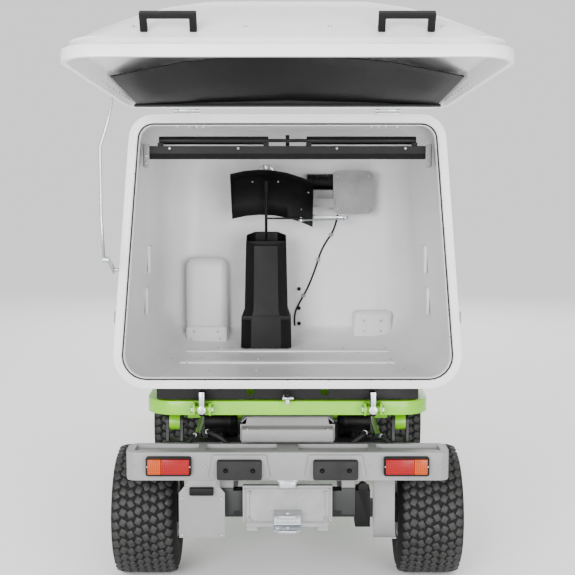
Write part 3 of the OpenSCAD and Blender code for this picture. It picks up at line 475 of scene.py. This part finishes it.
class SWEEPER_PG_paints(bpy.types.PropertyGroup):
    white: bpy.props.StringProperty(name="White", description="Hopper and lid gelcoat", default="#e2e2e2")
    white_shade: bpy.props.StringProperty(name="White shade", description="Its duller patches", default="#d6d6d6")
    lime: bpy.props.StringProperty(name="Lime", description="Cradle and bodywork colour", default="#78be00")
    lime_shade: bpy.props.StringProperty(name="Lime shade", description="Its darker patches", default="#69ac00")
    grey: bpy.props.StringProperty(name="Grey", description="Bumper and covers", default="#868686")
    grey_shade: bpy.props.StringProperty(name="Grey shade", description="Its duller patches", default="#7a7a7a")


class SWEEPER_PG_sizes(bpy.types.PropertyGroup):
    edge: bpy.props.FloatProperty(name="Edge rounding", description="Rounding on moulded edges",
                                  default=mm(4.0), min=mm(0.5), max=mm(10.0), unit="LENGTH")
    bolt: bpy.props.FloatProperty(name="Bolt head", description="Radius of the small bolt heads",
                                  default=mm(5.5), min=mm(3.0), max=mm(8.0), unit="LENGTH")
    lens: bpy.props.FloatProperty(name="Lens length", description="Focal length of the camera",
                                  default=73.7, min=20.0, max=200.0, unit="CAMERA")


class SWEEPER_OT_hopper(bpy.types.Operator):
    """Moulded white hopper with its bosses, ribs, bolts and rim seal"""
    bl_idname = "sweeper.hopper"
    bl_label = "Hopper"

    def execute(self, context):
        eased("hopper_shell", sizes().edge * 1000, 2, 40, smooth=34)
        eased("rim_seal", 1.2, 2)
        eased("hopper_underframe", 2.0, 1)
        low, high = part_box("hopper_shell")
        wall, floor, rim = high.y * 1000 - 8, low.z * 1000 + 22, low.y * 1000
        bm = bmesh.new()
        block(bm, (-452, wall - 105, floor - 5), (-268, wall + 4, 1205), 42, 6)
        block(bm, (-452, wall - 122, floor - 5), (-268, wall + 4, 905), 16, 4)
        block(bm, (292, wall - 60, floor - 5), (470, wall + 4, 965), 26, 5)
        for y in (-760, -470):
            block(bm, (-430, y, floor - 5), (430, y + 60, floor + 5), 4.5, 3)
        for side in (-1, 1):
            for z in (1010, 1180):
                place, _ = hit("hopper_shell", (0, -0.59, mm(z + 55)), (side, 0, 0))
                x = place.x * 1000 - side * 5
                block(bm, (x - 6, -640, z), (x + 6, -540, z + 110), 5, 3)
        piece("hopper_bosses", bm, "white_moulding", "hopper", 40)
        r, down = sizes().bolt * 1000, (0, 0, -1)
        rows = [((mm(x), y, mm(floor + 60)), down) for y in (-1.10, -0.93, -0.66, -0.37)
                for x in (-470, -300, -120, 60, 240, 420)]
        rows += [((side * (0.30 + k * 0.05), -0.50 - k * 0.13, mm(floor + 60)), down) for side in (-1, 1)
                 for k in range(4)]
        studs("floor_bolts", "hopper_shell", rows, "zinc_steel", r)
        feet = [(mm(x), mm(wall - 122), mm(z)) for x, z in ((-415, 880), (-310, 880), (-430, 848), (-300, 848))]
        feet += [(mm(x), mm(wall - 60), mm(z)) for x, z in ((345, 920), (420, 920), (345, 872), (420, 872))]
        bolts("boss_bolts", feet, (0, -1, 0), "zinc_steel", "hopper", r)
        sides = [((side * mm(half_width(z) - 32), mm(rim - 30), mm(z)), (0, 1, 0)) for side in (-1, 1)
                 for z in range(900, 1700, 98)]
        sides += [((mm(x), mm(rim - 30), 0.838), (0, 1, 0)) for x in range(-450, 451, 150)]
        studs("rim_bolts", "hopper_shell", sides, "zinc_steel", 3.4, 2.4, 8)
        teeth = [((side * mm(x), -1.165, 1.70), (0, 0, 1)) for side in (-1, 1) for x in (300, 325, 350, 392)]
        studs("hinge_nuts", "hopper_shell", teeth, "zinc_steel", 6, 7, 6)
        bm = bmesh.new()
        for side in (-1, 1):
            x = half_width(1068)
            block(bm, (side * x + side * 4 - 9, rim + 4, 1046), (side * x + side * 4 + 9, rim + 26, 1088), 3)
        piece("latch_tabs", bm, "grey_moulding", "hopper")
        eased("top_beam", 1.5, 1)
        low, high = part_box("top_beam")
        bm = bmesh.new()
        for side in (-1, 1):
            edge = high.x * 1000
            block(bm, (side * (edge + 1) - 1.5, low.y * 1000 + 4, low.z * 1000 - 4),
                  (side * (edge + 1) + 1.5, high.y * 1000 - 4, high.z * 1000 + 8), 1.2, 2)
            block(bm, (side * (edge - 12) - 10, low.y * 1000 - 3, low.z * 1000 - 8),
                  (side * (edge - 12) + 10, low.y * 1000 - 0.5, high.z * 1000 + 6), 1, 2)
        piece("beam_brackets", bm, "grey_moulding", "hopper")
        spots = [(side * (high.x - mm(12)), low.y - mm(3), low.z + mm(k)) for side in (-1, 1) for k in (8, 34)]
        spots += [(mm(x), low.y, high.z - mm(9)) for x in (-430, -180, 180, 430)]
        bolts("beam_bolts", spots, (0, -1, 0), "zinc_steel", "hopper", 6, 4, 6)
        return {"FINISHED"}


class SWEEPER_OT_duct(bpy.types.Operator):
    """Duct column, deflector hood and their drive"""
    bl_idname = "sweeper.duct"
    bl_label = "Duct and deflector"

    def execute(self, context):
        eased("duct_column", 3.0, 2, 25, smooth=20)
        eased("deflector_hood", 0.8, 1, 40, smooth=30)
        for node in ("hood_link", "hood_lever", "hood_bracket"):
            eased(node, 1.0, 2)
        eased("gearmotor", 5.0, 3)
        eased("gas_struts", 1.0, 2)
        low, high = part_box("gearmotor")
        bm = bmesh.new()
        axis_y, axis_z = -130, 1542
        for k in range(9):
            x = 94 + k * 12.5
            rod(bm, (mm(x), mm(axis_y), mm(axis_z)), (mm(x + 5), mm(axis_y), mm(axis_z)), 34.5, 32, 1)
        rod(bm, (mm(86), mm(axis_y), mm(axis_z)), (mm(204), mm(axis_y), mm(axis_z)), 32.6, 32, 3)
        piece("motor_fins", bm, "black_plastic", "hopper", 40)
        spots = [(mm(x), low.y, mm(z)) for x in (222, 358) for z in (1424, 1566)]
        bolts("gearbox_bolts", spots, (0, -1, 0), "zinc_steel", "hopper", 5, 4, 6)
        nuts = [((mm(58), -0.33, 1.5), (0, 0, -1)), ((mm(-60), -0.33, 1.5), (0, 0, -1))]
        studs("hood_nuts", "deflector_hood", nuts, "zinc_steel", 7, 6, 6)
        rays = [((mm(x), -0.9, mm(z)), (0, 1, 0))
                for x, z in ((-150, 1545), (60, 1425), (-40, 1545), (90, 1500))]
        studs("hood_rivets", "deflector_hood", rays, "zinc_steel", 4.5, 3)
        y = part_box("hopper_shell")[1].y - mm(12.3)
        path = [(225, 1394), (222, 1370), (204, 1315), (172, 1269), (148, 1224), (126, 1150), (92, 1062),
                (54, 996), (36, 955), (31, 925), (33, 890)]
        hose("motor_cable_sheath", [(mm(x), y, mm(z)) for x, z in path], 4.0, "rubber_black", "hopper",
             ("motor_cable",), 3)
        bm = bmesh.new()
        for x, z in ((196, 1303), (138, 1190), (72, 1028)):
            block(bm, (x - 9, y * 1000 - 6, z - 7), (x + 9, y * 1000 + 4, z + 7), 2)
        piece("cable_clips", bm, "grey_moulding", "hopper")
        knobs = [(mm(52), high.y - mm(1), mm(z)) for z in (1058, 970, 900)]
        bolts("cable_knobs", knobs, (0, -1, 0), "black_plastic", "hopper", 9, 12, 12)
        low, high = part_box("duct_column")
        bm = bmesh.new()
        block(bm, (low.x * 1000 + 4, low.y * 1000 + 2, 955), (high.x * 1000 - 4, low.y * 1000 + 9, 975), 2)
        piece("duct_band", bm, "black_plastic", "hopper")
        return {"FINISHED"}


class SWEEPER_OT_lid(bpy.types.Operator):
    """Domed lid with its folded screen, handles, hinges and stay"""
    bl_idname = "sweeper.lid"
    bl_label = "Lid"

    def execute(self, context):
        eased("lid_shell", sizes().edge * 1000, 3, 24, smooth=30)
        eased("lid_liner", 1.0, 1, 40, smooth=24)
        eased("lid_handles", 6.0, 3)
        eased("lid_hinges", 1.0, 2)
        eased("hinge_leaves", 1.0, 2)
        eased("lid_rod", 0, 1, smooth=60)
        eased("lid_lever", 1.0, 2)
        rays = []
        for side in (-1, 1):
            for z in range(1330, 1700, 46):
                rays.append((opened((side * 420, -1203, z)), opened((side, 0, 0), True)))
        studs("lid_side_bolts", "lid_shell", rays, "zinc_steel", 4.5, 3.5, 8)
        rays = [(opened((x, -1600, 872)), opened((0, 1, 0), True)) for x in (-425, -116, 116, 425)]
        studs("lid_face_screws", "lid_shell", rays, "zinc_steel", 6, 3, 10)
        bm = bmesh.new()
        block(bm, (-560, -1218, 1756), (560, -1190, 1764), 2, 2)
        rod(bm, (-0.556, -1.1925, 1.752), (0.556, -1.1925, 1.752), 5.5, 20, 1)
        bmesh.ops.transform(bm, verts=bm.verts, matrix=Matrix.Translation(LID_HINGE / 1000)
                            @ Matrix.Rotation(math.radians(LID_ANGLE), 4, "X")
                            @ Matrix.Translation(-LID_HINGE / 1000))
        piece("screen_hem", bm, "rubber_black", "lid")
        bm = bmesh.new()
        for side in (-1, 1):
            for x in (-34, 0, 34):
                place = Vector((side * 355 + x, -1195, 1800))
                rod(bm, opened(place), opened(place + Vector((0, -1, 0)) * 5), 4.5, 6)
        piece("hinge_screws", bm, "zinc_steel", "lid")
        return {"FINISHED"}


class SWEEPER_OT_lift(bpy.types.Operator):
    """Cradle loop, lift arms and links with their pins"""
    bl_idname = "sweeper.lift"
    bl_label = "Lift and cradle"

    def execute(self, context):
        for node, width in (("cradle_loop", 4.0), ("lift_arms", 5.0), ("lift_links", 3.0)):
            eased(node, width, 2)
        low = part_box("cradle_loop")[0]
        bm = bmesh.new()
        for side in (-1, 1):
            x = side * 310
            rod(bm, (mm(x - 36), -1.186, 0.734), (mm(x + 36), -1.186, 0.734), 9, 24, 1.5)
            rod(bm, (mm(x - 32), -1.186, 0.734), (mm(x - 40), -1.186, 0.734), 14, 6, 1.5)
            rod(bm, (mm(x + 32), -1.186, 0.734), (mm(x + 40), -1.186, 0.734), 14, 6, 1.5)
        piece("tipping_bolts", bm, "zinc_steel", "cradle")
        bm = bmesh.new()
        for side in (-1, 1):
            place, _ = hit("hopper_underframe", (side * 0.31, -1.4, 0.77), (0, 1, 0))
            y = place.y * 1000
            block(bm, (side * 310 - 9, y - 3, 742), (side * 310 + 9, y - 0.4, 800), 1.2, 2)
            rod(bm, (side * 0.31, mm(y - 6), 0.734), (side * 0.31, mm(y - 0.2), 0.734), 15, 24, 1)
            rod(bm, (side * 0.31, mm(y - 8), 0.734), (side * 0.31, mm(y - 5), 0.734), 6, 6, 0.5)
        piece("hinge_arm_plates", bm, "zinc_steel", "hopper")
        bm = bmesh.new()
        y = low.y * 1000
        rod(bm, (mm(-18), mm(y + 24), 0.774), (mm(22), mm(y + 24), 0.774), 6, 16, 1)
        bmesh.ops.create_cone(bm, cap_ends=True, segments=24, radius1=mm(12), radius2=mm(12), depth=mm(4),
                              matrix=at((mm(-14), mm(y + 24), 0.774), (1, 0, 0)))
        block(bm, (-7, y + 12, 752), (7, y + 36, 772), 2)
        piece("latch_pin", bm, "zinc_steel", "cradle")
        bm = bmesh.new()
        bmesh.ops.create_uvsphere(bm, u_segments=20, v_segments=12, radius=mm(11),
                                  matrix=at((0, mm(y + 24), 0.786)))
        piece("latch_knob", bm, "black_plastic", "cradle", 60)
        return {"FINISHED"}


class SWEEPER_OT_rear(bpy.types.Operator):
    """Bumper, buffers, lamps, number plate and tow hitch"""
    bl_idname = "sweeper.rear"
    bl_label = "Rear end"

    def execute(self, context):
        eased("rear_bumper", 8.0, 3)
        eased("rubber_buffers", 5.0, 3)
        eased("tail_lamp_frames", 2.5, 2)
        for node in ("tail_lens_red", "tail_lens_amber"):
            eased(node, 2.5, 3)
        for node, width in (("number_plate_holder", 0.8), ("number_plate_lamp", 4.0), ("hitch_box", 3.0),
                            ("hitch_plates", 1.5), ("wheel_guard", 1.0), ("engine_cover", 6.0),
                            ("fuel_tank", 6.0), ("engine_block", 4.0)):
            eased(node, width, 2)
        low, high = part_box("rubber_buffers")
        spots = [(side * mm(x), low.y, (low.z + high.z) / 2) for side in (-1, 1) for x in (125, 223)]
        bolts("buffer_bolts", spots, (0, -1, 0), "black_paint", "chassis", 9, 6, 14)
        low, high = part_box("tail_lamp_frames")
        spots = [(side * (high.x - mm(k)), low.y, (low.z + high.z) / 2) for side in (-1, 1) for k in (5, 160)]
        bolts("lamp_screws", spots, (0, -1, 0), "zinc_steel", "chassis", 3.2, 1.5, 8)
        low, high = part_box("number_plate_holder")
        spots = [(x, low.y, z) for x in (low.x + mm(12), high.x - mm(12))
                 for z in (low.z + mm(12), low.z + mm(150))]
        bolts("plate_screws", spots, (0, -1, 0), "zinc_steel", "chassis", 5, 3, 10)
        low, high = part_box("hitch_box")
        y = low.y * 1000
        bm = bmesh.new()
        for x in (-158, 152):
            block(bm, (x, y - 4, 306), (x + 6, y + 1, 440), 1.5)
        for z in (306, 434):
            block(bm, (-158, y - 4, z), (158, y + 1, z + 6), 1.5)
        block(bm, (-34, y - 12, 452), (34, y - 4, 478), 3)
        piece("hitch_panel_frame", bm, "grey_moulding", "chassis")
        bm = bmesh.new()
        block(bm, (-30, y - 16, 440), (30, y - 10, 468), 3)
        rod(bm, (-0.036, mm(y - 14), 0.470), (0.036, mm(y - 14), 0.470), 4, 16, 1)
        piece("hitch_catch", bm, "zinc_steel", "chassis")
        spots = [(side * 0.140, mm(y - 4), z) for side in (-1, 1) for z in (0.325, 0.425)]
        bolts("hitch_bolts", spots, (0, -1, 0), "zinc_steel", "chassis", 5.5, 4, 6)
        rays = [((side * 0.15, -1.3, z), (0, 1, 0)) for side in (-1, 1) for z in (0.60, 0.64)]
        studs("cover_screws", "engine_cover", rays, "zinc_steel", 4.5, 3)
        rays = [((side * x, -1.4, 0.525), (0, 1, 0)) for side in (-1, 1) for x in (0.30, 0.555)]
        studs("bumper_bolts", "rear_bumper", rays, "zinc_steel", 5.5, 3.5)
        return {"FINISHED"}


class SWEEPER_OT_chassis(bpy.types.Operator):
    """Frame, axles, knuckles and tie rod, with the hoses round the engine"""
    bl_idname = "sweeper.chassis"
    bl_label = "Chassis and axles"

    def execute(self, context):
        for node in ("chassis_frame", "front_axle", "rear_axle", "knuckle_left", "knuckle_right", "tie_rod"):
            eased(node, 2.5, 2)
        runs = (((-0.30, -0.97, 0.60), (-0.31, -1.02, 0.615), (-0.25, -1.045, 0.60), (-0.21, -1.03, 0.55),
                 (-0.205, -0.98, 0.50), (-0.21, -0.92, 0.47)),
                ((0.29, -0.98, 0.60), (0.30, -1.03, 0.61), (0.25, -1.045, 0.585), (0.215, -1.02, 0.53),
                 (0.21, -0.95, 0.48), (0.20, -0.90, 0.46)),
                ((-0.34, -0.98, 0.59), (-0.37, -1.03, 0.60), (-0.40, -1.04, 0.55), (-0.39, -1.02, 0.49)),
                ((0.34, -0.98, 0.585), (0.38, -1.03, 0.60), (0.41, -1.035, 0.55), (0.40, -1.02, 0.49)))
        for k, run in enumerate(runs):
            hose(f"hydraulic_hose_{k + 1}", run, 8.5, "rubber_black", "chassis")
        bm = bmesh.new()
        for run in runs:
            start, end = Vector(run[0]), Vector(run[1])
            rod(bm, start, start + (end - start) * 0.45, 10.5, 6, 1)
        piece("hose_ferrules", bm, "zinc_steel", "chassis")
        bm = bmesh.new()
        for side in (-1, 1):
            rod(bm, (side * 0.198, -0.85, 0.618), (side * 0.325, -0.85, 0.618), 46, 36, 6)
            rod(bm, (side * 0.215, -0.85, 0.618), (side * 0.235, -0.85, 0.618), 50, 36, 2)
            rod(bm, (side * 0.26, -0.80, 0.60), (side * 0.26, -0.80, 0.45), 22, 24, 3)
            block(bm, (side * 262 - 60, -760, 440), (side * 262 + 60, -700, 640), 8, 3)
        piece("air_filters", bm, "black_plastic", "chassis", 40)
        bm = bmesh.new()
        for k in range(7):
            block(bm, (-178, -898 + k * 68, 560), (178, -890 + k * 68, 575), 2)
        piece("engine_fins", bm, "engine_alloy", "chassis")
        return {"FINISHED"}


def treaded(node, columns, rows, block_w, block_l, lug, wave):
    """A turf tyre: its carcass shrunk to the groove floor, with rows of rounded wavy blocks around it."""
    tread_zone, sunk, skew, taper, wave_step = 52, 2.2, 0.45, 0.88, 2.1
    low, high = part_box(node)
    hub, outer = (low + high) / 2, (high.z - low.z) / 2
    bm = copy_of(node)
    for v in bm.verts:
        out = Vector((0, v.co.y - hub.y, v.co.z - hub.z))
        if out.length > outer - mm(tread_zone):
            v.co -= out.normalized() * mm(lug)
    # The carcass, groove floor and sidewall, takes the blacker rubber: painted shade in the grooves.
    piece(node + "_carcass", bm, "tyre_black", BODY[node], 50, (node,), "tyre_groove")
    width = high.x - low.x
    pitch = width * 0.93 / columns
    bm = bmesh.new()
    for column in range(columns):
        x = pitch * (column - (columns - 1) / 2)
        place, normal = hit(node, hub + Vector((x, 0, outer + 0.1)), (0, 0, -1))
        if place is None:
            continue
        lean = Matrix.Rotation(math.atan2(normal.x, normal.z), 4, "Y")
        for row in range(rows):
            turn = (row + 0.5 * (column % 2)) * math.tau / rows + wave * math.sin(column * wave_step)
            spot = (Matrix.Translation(hub) @ Matrix.Rotation(turn, 4, "X") @ Matrix.Translation(place - hub)
                    @ lean @ Matrix.Translation((0, 0, -mm(lug / 2 + sunk)))
                    @ Matrix.Rotation(skew * (-1) ** column, 4, "Z"))
            made = bmesh.ops.create_cube(bm, size=1.0, matrix=spot @ Matrix.Diagonal(
                (pitch * block_w, mm(block_l), mm(lug), 1)))
            back = spot.inverted()
            top = [v for v in made["verts"] if (back @ v.co).z > 0]
            centre = sum((v.co for v in top), Vector()) / 4
            for v in top:
                v.co = centre + (v.co - centre) * taper
    edges = [e for e in bm.edges if e.calc_face_angle(0) > 0.5]
    bmesh.ops.bevel(bm, geom=edges, offset=mm(1.8), affect="EDGES", segments=1, profile=0.5, material=-1,
                    clamp_overlap=True)
    piece(node + "_tread", bm, "tyre_black", BODY[node], 40)


class SWEEPER_OT_wheels(bpy.types.Operator):
    """Rims with wheel bolts and turf tyres with wavy block tread"""
    bl_idname = "sweeper.wheels"
    bl_label = "Wheels and tyres"

    def execute(self, context):
        nut_ring = 0.07
        for side, sign in (("left", -1), ("right", 1)):
            for end, columns, rows in (("rear", 8, 40), ("front", 8, 46)):
                rim = f"{end}_rim_{side}"
                eased(rim, 1.5, 2)
                low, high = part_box(rim)
                hub = (low + high) / 2
                face = Vector((sign * 0.9, hub.y, hub.z))
                ring = [Vector((0, math.cos(k * math.tau / 5), math.sin(k * math.tau / 5))) for k in range(5)]
                inward = (-sign, 0, 0)
                studs(rim + "_nuts", rim, [(face + v * nut_ring, inward) for v in ring], "zinc_steel", 11, 14, 6)
                place, _ = hit(rim, face + ring[0] * nut_ring, inward)
                bolts(rim + "_cap", [(place.x, hub.y, hub.z)], (sign, 0, 0), "black_plastic", BODY[rim],
                      40, 16, 28)
                treaded(f"{end}_tyre_{side}", columns, rows, 0.92, 31, 9, 0.03)
        return {"FINISHED"}


def cushion(node, name, cap):
    """A padded piece: the CAD solid shrunk, remeshed and blown up by cloth pressure, with two sewn grooves."""
    shrunk, pressure, steps, margin = 0.95, 4, 20, 1
    seams, seam_width, seam_depth = (-0.33, 0.33), 9, 6
    low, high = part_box(node)
    middle, half = (low + high) / 2, (high - low) / 2
    bm = copy_of(node)
    for v in bm.verts:
        v.co = middle + (v.co - middle) * shrunk
    mesh = bpy.data.meshes.new(name)
    bm.to_mesh(mesh)
    bm.free()
    obj = bpy.data.objects.new(name, mesh)
    bpy.context.collection.objects.link(obj)
    remesh = obj.modifiers.new("remesh", "REMESH")
    remesh.mode, remesh.voxel_size = "VOXEL", mm(6)

    def baked():
        return bpy.data.meshes.new_from_object(obj.evaluated_get(bpy.context.evaluated_depsgraph_get()))

    bpy.context.view_layer.update()
    still = baked()
    obj.modifiers.clear()
    obj.data = still
    rest = [v.co.copy() for v in still.vertices]
    cloth = obj.modifiers.new("cloth", "CLOTH")
    cloth.settings.use_pressure, cloth.settings.uniform_pressure_force = True, pressure
    cloth.settings.effector_weights.gravity = 0
    for step in range(1, steps + 1):
        bpy.context.scene.frame_set(step)
    blown = baked()
    obj.modifiers.clear()
    bpy.context.scene.frame_set(1)
    for v, was in zip(blown.vertices, rest):
        moved = v.co - was
        if moved.length > mm(cap):
            moved *= mm(cap) / moved.length
        v.co = was + moved
    obj.data = blown
    bm = bmesh.new()
    bm.from_mesh(obj.data)
    bpy.data.objects.remove(obj)
    bmesh.ops.smooth_vert(bm, verts=bm.verts, factor=0.5, use_axis_x=True, use_axis_y=True, use_axis_z=True)
    across, thin = 0, min(range(3), key=lambda k: half[k])
    for v in bm.verts:
        for k in range(3):
            v.co[k] = max(low[k] + mm(margin), min(high[k] - mm(margin), v.co[k]))
        away = v.co - middle
        if abs(away[thin]) > half[thin] * 0.5:
            for seam in seams:
                near = abs(away[across] / half[across] - seam) * half[across] / mm(seam_width)
                if near < 1:
                    v.co[thin] -= math.copysign(mm(seam_depth) * (1 - near * near) ** 2, away[thin])
    return piece(name, bm, "seat_vinyl", BODY[node], 0, (node,))


class SWEEPER_OT_station(bpy.types.Operator):
    """Platform, seat, steering, pedal and roll bar"""
    bl_idname = "sweeper.station"
    bl_label = "Operator station"

    def execute(self, context):
        for node, width in (("floor_platform", 6.0), ("seat_base", 8.0), ("steering_column", 14.0),
                            ("steering_wheel", 0.0), ("drive_pedal", 3.0), ("roll_bar", 5.0),
                            ("roll_hoop", 5.0)):
            eased(node, width, 3)
        cushion("seat_cushion", "seat_cushion_pad", 10)
        cushion("seat_back", "seat_back_pad", 10)
        low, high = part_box("drive_pedal")
        bm = bmesh.new()
        for k in range(5):
            y = low.y * 1000 + (high.y - low.y) * 1000 * (0.2 + 0.15 * k)
            place, _ = hit("drive_pedal", ((low.x + high.x) / 2, mm(y), high.z + 0.1), (0, 0, -1))
            if place:
                block(bm, (low.x * 1000 + 10, y - 3, place.z * 1000 - 1), (high.x * 1000 - 10, y + 3,
                                                                          place.z * 1000 + 2.5), 1)
        piece("pedal_grips", bm, "rubber_black", "pedal")
        bm = bmesh.new()
        low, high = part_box("steering_wheel")
        hub = (low + high) / 2
        tilt = Vector((0, -0.606, 0.795))
        bmesh.ops.create_cone(bm, cap_ends=True, segments=36, radius1=mm(40), radius2=mm(30), depth=mm(22),
                              matrix=at(hub + tilt * mm(8), tilt))
        piece("wheel_boss", bm, "black_plastic", "steering", 40)
        low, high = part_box("steering_column")
        bm = bmesh.new()
        for k in range(4):
            x = -60 + 40 * k
            block(bm, (x - 10, low.y * 1000 - 5, 700), (x + 10, low.y * 1000 + 1, 724), 3)
        piece("dash_switches", bm, "rubber_black", "chassis")
        bm = bmesh.new()
        for side in (-1, 1):
            for k in range(9):
                y = 470 + k * 62
                block(bm, (side * 516 - 130, y, 659), (side * 516 + 130, y + 22, 662), 1.2)
        piece("fender_grips", bm, "rubber_black", "chassis")
        bm = bmesh.new()
        for k in range(14):
            y = 640 + k * 22
            block(bm, (-150, y, 449), (150, y + 8, 453), 1.5)
        piece("floor_mat_ribs", bm, "rubber_black", "chassis")
        return {"FINISHED"}


class SWEEPER_OT_head(bpy.types.Operator):
    """Sweeping head with its roller brush of nylon bristles"""
    bl_idname = "sweeper.head"
    bl_label = "Sweeping head"

    def execute(self, context):
        eased("head_housing", 2.0, 2)
        low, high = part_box("roller_brush")
        hub, reach = (low + high) / 2, (high.z - low.z) / 2
        eased("roller_brush", 0, 2)
        bm = bmesh.new()
        rows, tufts, margin, twist = 14, 58, 18, 0.5
        length, middle = reach * 0.34, reach * 0.825
        for row in range(rows):
            for k in range(tufts):
                x = low.x + mm(margin) + (high.x - low.x - mm(2 * margin)) * k / (tufts - 1)
                turn = math.tau * (row / rows + k / tufts * twist)
                out = Vector((0, math.sin(turn), math.cos(turn)))
                bmesh.ops.create_cone(bm, cap_ends=True, segments=6, radius1=mm(3), radius2=mm(7), depth=length,
                                      matrix=at(Vector((x, hub.y, hub.z)) + out * middle, out))
        piece("brush_tufts", bm, "brush_nylon", "brush", 50)
        return {"FINISHED"}


# The camera's place in metres, its downward tilt in degrees and the light of the sky.
CAMERA_PLACE, CAMERA_TILT, SKY_STRENGTH = (0, -5.3925, 1.615), 5.93, 1.15


class SWEEPER_OT_stage(bpy.types.Operator):
    """Pale floor, soft lights and the camera"""
    bl_idname = "sweeper.stage"
    bl_label = "Stage"

    def execute(self, context):
        scene = context.scene
        bm = bmesh.new()
        bmesh.ops.create_grid(bm, x_segments=1, y_segments=1, size=30)
        mesh = bpy.data.meshes.new("studio_floor")
        bm.to_mesh(mesh)
        bm.free()
        floor = bpy.data.objects.new("studio_floor", mesh)
        scene.collection.objects.link(floor)
        mesh.materials.append(finish_of("matt_white_floor", "#ffffff", 0.9)[0])
        world = bpy.data.worlds.new("studio")
        scene.world = world
        world.use_nodes = True
        world.node_tree.nodes["Background"].inputs["Color"].default_value = (1, 1, 1, 1)
        world.node_tree.nodes["Background"].inputs["Strength"].default_value = SKY_STRENGTH
        for name, place, aim, size, power in (
                ("key", (-2.4, -6.8, 2.4), (0, -1, 1.1), 3.0, 430),
                ("fill", (2.6, -6.6, 1.6), (0, -1, 1.1), 3.0, 280),
                ("top", (0, -1.0, 6.5), (0, -1.0, 0), 5.0, 110),
                ("front", (0.5, 7.0, 4.5), (0, 0, 0.8), 5.0, 220)):
            light = bpy.data.lights.new(name, "AREA")
            light.size, light.energy = size, power
            lamp = bpy.data.objects.new(name, light)
            scene.collection.objects.link(lamp)
            lamp.location = place
            lamp.rotation_euler = (Vector(aim) - Vector(place)).to_track_quat("-Z", "Y").to_euler()
        camera = bpy.data.objects.new("camera", bpy.data.cameras.new("camera"))
        scene.collection.objects.link(camera)
        camera.location = CAMERA_PLACE
        camera.rotation_euler = (math.radians(90 - CAMERA_TILT), 0, 0)
        camera.data.sensor_width, camera.data.lens = 36.0, sizes().lens
        camera.data.clip_end = 100
        scene.camera = camera
        return {"FINISHED"}


GROUPS = (SWEEPER_OT_hopper, SWEEPER_OT_duct, SWEEPER_OT_lid, SWEEPER_OT_lift, SWEEPER_OT_rear,
          SWEEPER_OT_chassis, SWEEPER_OT_wheels, SWEEPER_OT_station, SWEEPER_OT_head, SWEEPER_OT_stage)


class SWEEPER_PT_panel(bpy.types.Panel):
    """Sidebar panel that lists the sweeper's pieces"""
    bl_idname = "SWEEPER_PT_panel"
    bl_label = "Sweeper"
    bl_space_type = "VIEW_3D"
    bl_region_type = "UI"
    bl_category = "Sweeper"

    def draw(self, context):
        for group in (paints(), sizes()):
            for key in group.__annotations__:
                self.layout.prop(group, key)
        for made in GROUPS:
            self.layout.operator(made.bl_idname)


CLASSES = (SWEEPER_PG_paints, SWEEPER_PG_sizes) + GROUPS + (SWEEPER_PT_panel,)


def register():
    for made in CLASSES:
        bpy.utils.register_class(made)
    bpy.types.Scene.sweeper_paints = bpy.props.PointerProperty(type=SWEEPER_PG_paints)
    bpy.types.Scene.sweeper_sizes = bpy.props.PointerProperty(type=SWEEPER_PG_sizes)


def unregister():
    del bpy.types.Scene.sweeper_sizes
    del bpy.types.Scene.sweeper_paints
    for made in reversed(CLASSES):
        bpy.utils.unregister_class(made)


def main():
    register()
    for made in GROUPS:
        area, word = made.bl_idname.split(".")
        getattr(getattr(bpy.ops, area), word)()


if __name__ == "__main__":
    main()
